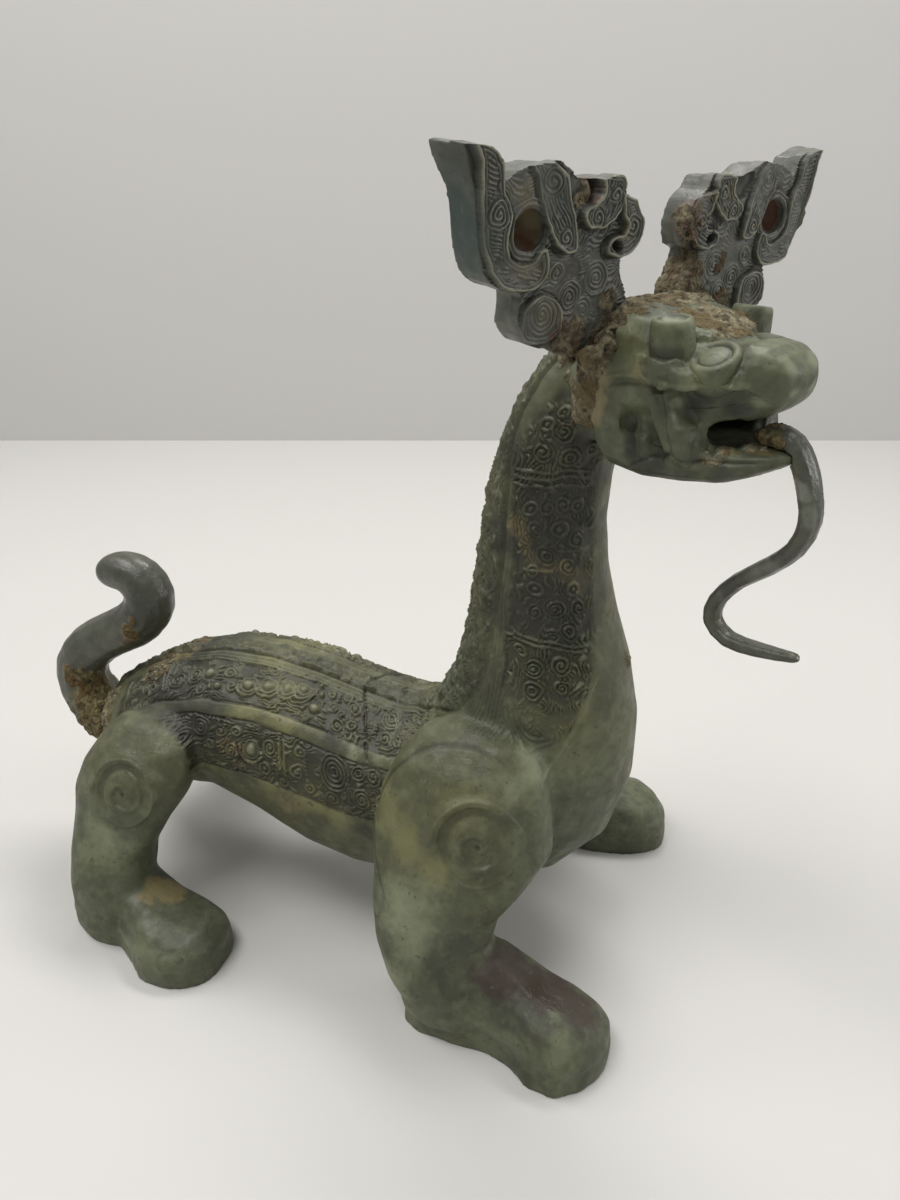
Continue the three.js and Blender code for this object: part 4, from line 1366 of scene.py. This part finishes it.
def horn_carving(u, v):
    """Height over the plate's own face, and the tone, of the scrolled front."""
    u, v = hand_cut(u, v, 0.4, 140)
    height = np.zeros(len(u))
    tone = np.zeros(len(u))
    taken = np.zeros(len(u))
    for i, (outline, eyes, turn) in enumerate(RAISED):
        deep = inset(u, v, outline)
        inside = ramp(-0.3, 0.35, deep)
        eye_area = np.zeros(len(u))
        eye = np.zeros(len(u))
        for x, z, radius in eyes:
            eye_area = np.maximum(eye_area, ramp(radius + 0.5, radius, np.hypot(u - x, v - z)))
            eye = np.maximum(eye, spiral(u, v, (x, z), radius, radius / 1.45, 1, 0.95))
        fill = hatch(u, v, 1.15, turn, 70 + 3 * i) * (1 - eye_area) + eye * eye_area
        lines = ramp(0.75, 0.45, np.abs(deep - 0.45)) + 0.85 * bar(deep - 1.7, 0.85)
        lines = lines + fill * ramp(2.1, 2.5, deep)
        lines = np.where((eye_area > 0.5) & (deep > 0.9), eye, lines)
        height = height * (1 - inside) + inside * (HORN_STEP - 0.65 + 0.65 * lines)
        tone = tone * (1 - inside) + inside * (1.9 * lines - 1.1)
        taken = np.maximum(taken, inside)
        gap = bar(deep + 0.7, 1.5) * ramp(-0.6, -2.0, u - np.interp(v, *LIMB_OUTSIDE))
        height -= 0.5 * gap
        tone -= gap
    ground = 0.8 * curls(u, v, 1.3, 90)
    for x, z, radius in PLATE_EYES:
        away = np.hypot(u - x, v - z)
        ground = np.where(away < radius, bar(away - (radius - 0.6), 1.0), ground)
        coil = spiral(u, v, (x, z), radius - 1.4, (radius - 1.4) / 1.3, -1, 0.8)
        ground = np.where(away < radius - 1.2, coil, ground)
    arch = inset(u, v, HORN_HOLE)
    round_hole = bar(arch + 1.1, 0.9) + bar(arch + 2.5, 0.9)
    ground = np.where((arch > -3.1) & (arch < 0.2), round_hole, ground)
    free = 1 - taken
    height += free * (0.6 * ground + 0.9 * ramp(-3.3, -2.6, arch) * ramp(0.6, -0.4, arch))
    tone += free * (1.7 * ground - 1.0)
    for outline, deep in ((TOP_RECESS, 3.6), (LOBE_RECESS, 2.8)):
        inside = ramp(-0.2, 1.0, inset(u, v, outline))
        height -= inside * (deep + height)
        tone = tone * (1 - inside) - 0.4 * inside
    return height, tone


# Patches on the left (1) and right (-1) horn: outward, up to 14 back from the face, height,
# radius and strength
HORN_OLIVE = ((63, 14, 329, 7, 0.9), (80, 13, 331, 7, 0.5))
HORN_PALE = ((26, 14, 297, 11, 0.7), (20, 13, 325, 12, 0.5))
HORN_CRUST = {
    1: (
        (8, 14, 309, 15, 1.0), (16, 10, 296, 15, 1.0), (26, 12, 286, 13, 1.0),
        (38, 12, 284, 10, 0.8), (20, 16, 322, 6, 0.4), (36, 8, 301, 6, 0.5),
    ),
    -1: (
        (26, 12, 283, 10, 1.0), (38, 12, 281, 8, 0.8), (46, 12, 282, 7, 0.7),
        (25, 14, 293, 8, 0.7), (39, 14, 324, 5, 0.8),
    ),
}
HORN_RUST = {
    1: (
        (10, 12, 313, 12, 1.0), (17, 14, 301, 10, 0.9), (28, 14, 316, 5, 0.4),
        (58, 8, 313, 6, 0.6),
    ),
    -1: (
        (62, 7, 313, 9, 1.0), (39, 12, 324, 7, 0.9), (46, 14, 284, 7, 0.8), (34, 14, 283, 6, 0.6),
    ),
}
HORN_OCHRE = {
    1: ((14, 14, 290, 12, 1.0), (32, 14, 320, 7, 0.7), (64, 14, 326, 10, 0.4)),
    -1: (
        (63, 14, 325, 8, 0.9), (60, 14, 301, 8, 0.6), (49, 14, 289, 8, 0.6), (20, 14, 312, 6, 0.7),
        (57, 14, 311, 6, 0.8),
    ),
}
HORN_BLUE = {
    1: ((25, 14, 312, 7, 0.7), (24, 14, 297, 8, 0.6)),
    -1: (
        (81, 4, 318, 16, 1.0), (80, 4, 304, 12, 0.8), (47, 14, 316, 7, 0.6), (72, 14, 322, 8, 0.4),
    ),
}


def horn_surface(points):
    """How far each point of a horn moves forward, and along its normal, and the masks."""
    front, left, height = horn_place(points)
    hand = 1 if left.mean() > 0 else -1
    outward = left * hand
    on_face = ramp(-HORN_STEP - 1.2, -HORN_STEP - 0.2, front)
    carved, tone = horn_carving(outward, height)
    places = np.column_stack([outward, np.maximum(front + 14, 0), height])
    crust = spots(places, HORN_CRUST[hand], 0.5, 80)
    worn = (1 - 0.75 * crust) * (0.45 + 0.55 * ramp(-0.5, 0.3, noise(points, 8, 92)))
    grit = rough(points, 2.6, 33, 3)
    face = -HORN_STEP + carved * worn + crust * (0.6 + 0.8 * grit)
    out = np.where(on_face > 0, on_face * (face - front), 0)
    in_hole = ramp(-1.2, 0.4, inset(outward, height, HORN_HOLE)) * ramp(-2.5, -4.5, front)
    away = (1 - on_face) * (crust * (0.5 + 0.7 * grit) + unevenness(points))
    # Inside the hole the outer half stays red-brown, and the inner half is ochre as painted light
    # on the lit side of its wall
    red = 0.9 * in_hole * ramp(57, 62, outward)
    dirt = np.clip(-tone, 0, 1) * on_face * ramp(-0.1, 0.5, noise(points, 14, 93))
    ochre = np.maximum(spots(places, HORN_OCHRE[hand], 0.7, 82), 0.9 * in_hole - red)
    masks = {
        "crust": crust,
        "tan": np.maximum(ochre, 0.6 * dirt),
        "olive": spots(places, HORN_OLIVE, 0.8, 84) * (1 - on_face),
        "pale": spots(places, HORN_PALE, 0.8, 86),
        "dark": spots(places, HORN_BLUE[hand], 0.7, 88),
        "copper": np.maximum(spots(places, HORN_RUST[hand], 0.6, 89), red),
        "tone": tone * on_face * worn - 0.15 * in_hole,
        "ground": on_face,
        "warm": np.zeros(len(points)),
    }
    return out, away, masks


# Patches on tail and tongue: places in the beast's frame and in the head's
TAIL_PATCHES = {
    "crust": (
        (-276, -12, 95, 9, 0.9), (-268, -8, 87, 14, 1.0), (-267, -13, 76, 13, 1.0),
        (-256, -6, 66, 18, 1.0), (-258, 10, 72, 18, 1.0), (-236, -11, 129, 6.5, 0.9),
        (-232, -12, 135, 4, 0.7),
    ),
    "tan": (
        (-270, -8, 90, 15, 0.8), (-262, -8, 72, 18, 0.9), (-238, -11, 128, 8, 1.0),
        (-242, -10, 121, 5, 0.6),
    ),
    "olive": ((-272, 0, 108, 14, 0.4), (-248, -8, 120, 12, 0.4)),
    "pale": ((-262, -11, 114, 12, 0.3), (-240, -8, 150, 9, 0.3)),
    "dark": ((-234, -6, 140, 12, 0.6), (-252, 0, 153, 10, 0.4), (-279, 0, 92, 8, 0.4)),
    "copper": ((-241, -10, 121, 5, 0.8), (-231, -11, 136, 3.5, 0.8), (-270, -12, 80, 6, 0.5)),
}
TONGUE_PATCHES = {
    "crust": ((87, 0, 253.5, 6, 1.0), (91, -5, 254, 4, 0.7)),
    "tan": ((90, -3, 254, 7, 0.9), (84, 0, 204, 6, 0.3), (107, 0, 186, 4, 0.4)),
    "olive": ((100, -4, 247, 6, 0.4), (77, 0, 190, 6, 0.4)),
    # The tongue's pale places are painted highlights along its ridges
    "pale": (
        (103, -4, 242, 6, 0.7), (105.5, -4, 232, 6, 0.6), (96, -4, 213, 8, 0.5),
        (80, -4, 198, 6, 0.4),
    ),
    "dark": ((99, 4, 236, 9, 0.5), (76, 0, 188, 5, 0.5), (102, 0, 224, 4, 0.3)),
    "copper": ((89, -2, 252, 4, 0.6),),
}


def bar_surface(points):
    """Skin of the round bars: smooth, with crust where they are let into the casting."""
    if points[:, 0].mean() < -100:
        places, patches, size = points, TAIL_PATCHES, 3.4
    else:
        places, patches, size = np.column_stack(head_place(points)), TONGUE_PATCHES, 2.0
    masks = {name: spots(places, rows, 0.6, 100) for name, rows in patches.items()}
    masks["crust"] = spots(places, patches["crust"], 0.35, 104)
    pits = np.clip(-noise(points, size * 0.6, 35) - 0.2, 0, 1)
    masks["tone"] = -masks["crust"] * pits
    for name in ("ground", "warm"):
        masks[name] = np.zeros(len(points))
    grit = rough(points, size, 31, 3)
    height = masks["crust"] * (0.25 * size + 0.22 * size * grit - 0.8 * pits)
    return height + unevenness(points), masks


# Lumps of crust that fill the joints: place in the head's frame and radius. A row before and a
# row behind the horns, the skull between the eyes, the neck joint, the lip and the snout's root.
CRUST_LUMPS = (
    *((42.0, side * out, 284.2 - 0.008 * out**2 + (out % 3) * 0.5, 3.0 + (out * 7 % 5) * 0.35)
      for out in range(2, 36, 4) for side in (1, -1)),
    *((26.5, side * out, 281.5 - 0.012 * out**2, 3.4)
      for out in range(2, 30, 4) for side in (1, -1)),
    *((forward, side, 282.6, 3.0) for forward in (47, 52, 57, 62) for side in (-6, 0, 5)),
    *((forward, side * 17.6, up, radius) for side in (1, -1) for forward, up, radius in (
        (27, 273, 3.4), (26.5, 267, 3.0), (27.5, 261, 3.2), (28, 255, 2.6),
    )),
    (79, -14.6, 249.6, 1.3), (82, -13.4, 249.9, 1.7), (85, -11.4, 250.4, 1.9),
    (87.5, -9, 250.8, 2.1), (89, -6, 251.2, 2.2), (89, 6, 251, 1.8), (86, 10, 250.6, 1.6),
    (66, -4, 281.5, 2.4), (69, 0, 280.4, 2.2), (67, 5, 281, 2.2),
)


def crust_surface(points):
    """Dry porous lumps with deep pits."""
    pits = np.clip(-noise(points, 1.9, 35) - 0.15, 0, 1)
    height = 0.75 * rough(points, 4.2, 41, 2) + 0.4 * rough(points, 1.6, 43, 2) - 1.2 * pits
    masks = {name: np.zeros(len(points)) for name in PATCHES}
    masks["crust"] = ramp(-0.75, -0.35, noise(points, 9, 45))
    masks["tone"] = -1.3 * pits
    masks["olive"] = ramp(0.1, 0.6, noise(points, 8, 46)) * 0.6
    masks["ground"] = np.ones(len(points)) * 0.5
    masks["warm"] = np.ones(len(points))
    return height, masks


class DRAGON_OT_crust(bpy.types.Operator):
    """Lumps of brown crust in the joints of horns, neck and lip"""

    bl_idname = "dragon.crust"
    bl_label = "Crust"

    def execute(self, context):
        form = bmesh.new()
        for forward, left, up, radius in CRUST_LUMPS:
            where = Matrix.Translation(place_in_scene(from_head((forward, left, up))))
            bmesh.ops.create_icosphere(form, subdivisions=2, radius=radius / 1000, matrix=where)
        piece = remeshed(piece_of(form, "crust"), CRUST_GRAIN * (1))
        softened(piece.data, ROUNDS["crust"])
        raise_surface(piece.data, crust_surface)
        thinned(piece, MOST["crust"])
        finish_piece(piece, crust_surface(beast_points(piece.data))[1],
                     bronze_patina("porous_crust", GREEN_SHADES, 0.5))
        return {"FINISHED"}


def horn_bend(points):
    """Moves that draw the tip's back edge out and up to a point, and narrow the hole backwards."""
    front, left, height = horn_place(points)
    hand = 1 if left.mean() > 0 else -1
    outward = left * hand
    tip = ramp(319, 335, height) * ramp(73, 82, outward)
    back = ramp(-1, -13, front)
    sideways = tip * (3.2 * back - 0.8 * (1 - back))
    upwards = tip * 1.6 * back
    wall = ramp(-1.6, 0.2, inset(outward, height, HORN_HOLE)) * ramp(-4, -11, front)
    du, dv = 60.3 - outward, 313 - height
    reach = np.hypot(du, dv) + 1e-9
    sideways += 3.6 * wall * du / reach
    upwards += 3.6 * wall * dv / reach
    aside = hand * np.array([math.sin(HEAD_TURN), math.cos(HEAD_TURN), 0])
    return sideways[:, None] * aside + upwards[:, None] * np.array([0, 0, 1])


class DRAGON_OT_horns(bpy.types.Operator):
    """Two scrolled horn plates"""

    bl_idname = "dragon.horns"
    bl_label = "Horns"

    def execute(self, context):
        material = bronze_patina("dark_patina_on_horn_plates", HORN_SHADES, 0.36)
        grain = context.scene.dragon_sizes.horn_grain
        forward = np.array([math.cos(HEAD_TURN), -math.sin(HEAD_TURN), 0])
        facing = forward * math.cos(HORN_LEAN) - np.array([0, 0, math.sin(HORN_LEAN)])
        for side in ("left", "right"):
            piece = remeshed(copy_of("horn_" + side, "dragon_horn_" + side), grain)
            mesh = piece.data
            softened(mesh, ROUNDS["horn"])
            front = horn_place(beast_points(mesh))[0]
            divide_where(mesh, front > -HORN_STEP - 1.2)
            points = beast_points(mesh)
            out, away, masks = horn_surface(points)
            points = points + out[:, None] * facing + away[:, None] * vertex_normals(mesh)
            set_points(mesh, points + horn_bend(points))
            paint(mesh, masks)
            thinned(piece, MOST["horn"])
            finish_piece(piece, {}, material)
            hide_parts("horn_" + side)
        return {"FINISHED"}


class DRAGON_OT_tongue_and_tail(bpy.types.Operator):
    """The long bent tongue and the curled tail"""

    bl_idname = "dragon.tongue_and_tail"
    bl_label = "Tongue and tail"

    def execute(self, context):
        for node, grain in BAR_GRAIN.items():
            piece = remeshed(copy_of(node, "dragon_" + node), grain)
            softened(piece.data, ROUNDS[node])
            raise_surface(piece.data, bar_surface)
            thinned(piece, MOST["bar"])
            finish_piece(piece, bar_surface(beast_points(piece.data))[1],
                         bronze_patina("dark_patina_on_" + node, DARK_SHADES, 0.24))
            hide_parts(node)
        return {"FINISHED"}


# Stage: the camera stands where the photograph was taken from

CAMERA_PLACE = (27.4, -343.4, 330.0)
CAMERA_PITCH = 25.0
CAMERA_HEADING = 17.6
CAMERA_LENS = 28.0
CAMERA_SENSOR = 36.0
WALL_FROM_CAMERA = 1206.0
SHEET = 2.6
ROOM_LIGHT = 0.5
BOARD_ROUGHNESS = 0.6
AIM_HEIGHT = 0.1
LAMP_COLOUR = "#fffdfb"
ROOM_COLOUR = "#e6e6e6"
# Name, place and size in metres, watts
LIGHTS = (
    ("key_overhead", (-0.35, -0.45, 1.45), (0.9, 0.5), 11.5),
    ("panel_rear", (0.15, 0.6, 1.45), (1.0, 0.3), 11.0),
    ("panel_left", (-0.9, 0.0, 1.1), (0.3, 0.8), 3.5),
    ("window_right", (1.15, 0.3, 0.6), (0.5, 0.6), 4.0),
)


def plain(name, colour):
    """Matt painted board: even, with no gloss that would mirror the dragon."""
    material = bpy.data.materials.new(name)
    material.use_nodes = True
    shader = material.node_tree.nodes["Principled BSDF"]
    shader.inputs["Base Color"].default_value = [*colour, 1]
    shader.inputs["Roughness"].default_value = BOARD_ROUGHNESS
    return material


class DRAGON_OT_stage(bpy.types.Operator):
    """Pale floor and backdrop, soft lights and the camera"""

    bl_idname = "dragon.stage"
    bl_label = "Stage"

    def execute(self, context):
        sizes = context.scene.dragon_sizes
        heading = math.radians(CAMERA_HEADING)
        eye = place_in_scene(CAMERA_PLACE)
        away = WALL_FROM_CAMERA / 1000
        middle = Matrix.Translation((eye.x, eye.y, 0)) @ Matrix.Rotation(heading, 4, "Z")
        for name, shift, tilt, colour in (
            ("floor", (0, away - SHEET, 0), 0, sizes.table), ("wall", (0, away, 0), 90, sizes.wall),
        ):
            form = bmesh.new()
            upright = Matrix.Rotation(math.radians(tilt), 4, "X")
            bmesh.ops.create_grid(
                form, x_segments=1, y_segments=1, size=SHEET,
                matrix=middle @ Matrix.Translation(shift) @ upright,
            )
            board = piece_of(form, name)
            board.data.materials.append(plain("matt_painted_board_" + name, colour))

        camera = link(bpy.data.objects.new("camera", bpy.data.cameras.new("camera")))
        camera.data.lens = CAMERA_LENS
        camera.data.sensor_width = CAMERA_SENSOR
        camera.data.clip_start = 0.01
        camera.location = eye
        camera.rotation_euler = (math.radians(90 - CAMERA_PITCH), 0, heading)
        context.scene.camera = camera

        for name, place, size, watts in LIGHTS:
            light = bpy.data.lights.new(name, "AREA")
            light.shape = "RECTANGLE"
            light.size, light.size_y = size
            light.energy = watts
            light.color = linear(LAMP_COLOUR)[:3]
            lamp = link(bpy.data.objects.new(name, light))
            lamp.location = place
            aim = Vector((0, 0, AIM_HEIGHT)) - Vector(place)
            lamp.rotation_euler = aim.to_track_quat("-Z", "Y").to_euler()

        world = bpy.data.worlds.new("soft_room_light")
        world.use_nodes = True
        room = world.node_tree.nodes["Background"]
        room.inputs["Color"].default_value = linear(ROOM_COLOUR)
        room.inputs["Strength"].default_value = ROOM_LIGHT
        context.scene.world = world
        context.scene.view_settings.view_transform = "Standard"
        return {"FINISHED"}


class DRAGON_PT_panel(bpy.types.Panel):
    """Lists the pieces of the dragon"""

    bl_label = "Bronze dragon"
    bl_idname = "DRAGON_PT_panel"
    bl_space_type = "VIEW_3D"
    bl_region_type = "UI"
    bl_category = "Bronze dragon"

    def draw(self, context):
        for name in ("casting_grain", "head_grain", "horn_grain", "table", "wall"):
            self.layout.prop(context.scene.dragon_sizes, name)
        for operator in STEPS:
            self.layout.operator(operator.bl_idname)


STEPS = (
    DRAGON_OT_casting, DRAGON_OT_horns, DRAGON_OT_tongue_and_tail, DRAGON_OT_crust, DRAGON_OT_stage,
)
CLASSES = (DRAGON_sizes, *STEPS, DRAGON_PT_panel)


def register():
    """Makes the sizes, operators and panel known to Blender."""
    for item in CLASSES:
        bpy.utils.register_class(item)
    bpy.types.Scene.dragon_sizes = bpy.props.PointerProperty(type=DRAGON_sizes)


def unregister():
    """Takes them out again."""
    del bpy.types.Scene.dragon_sizes
    for item in reversed(CLASSES):
        bpy.utils.unregister_class(item)


def main():
    """Makes all pieces and the stage."""
    register()
    bpy.ops.dragon.casting()
    bpy.ops.dragon.horns()
    bpy.ops.dragon.tongue_and_tail()
    bpy.ops.dragon.crust()
    bpy.ops.dragon.stage()


if __name__ == "__main__":
    main()
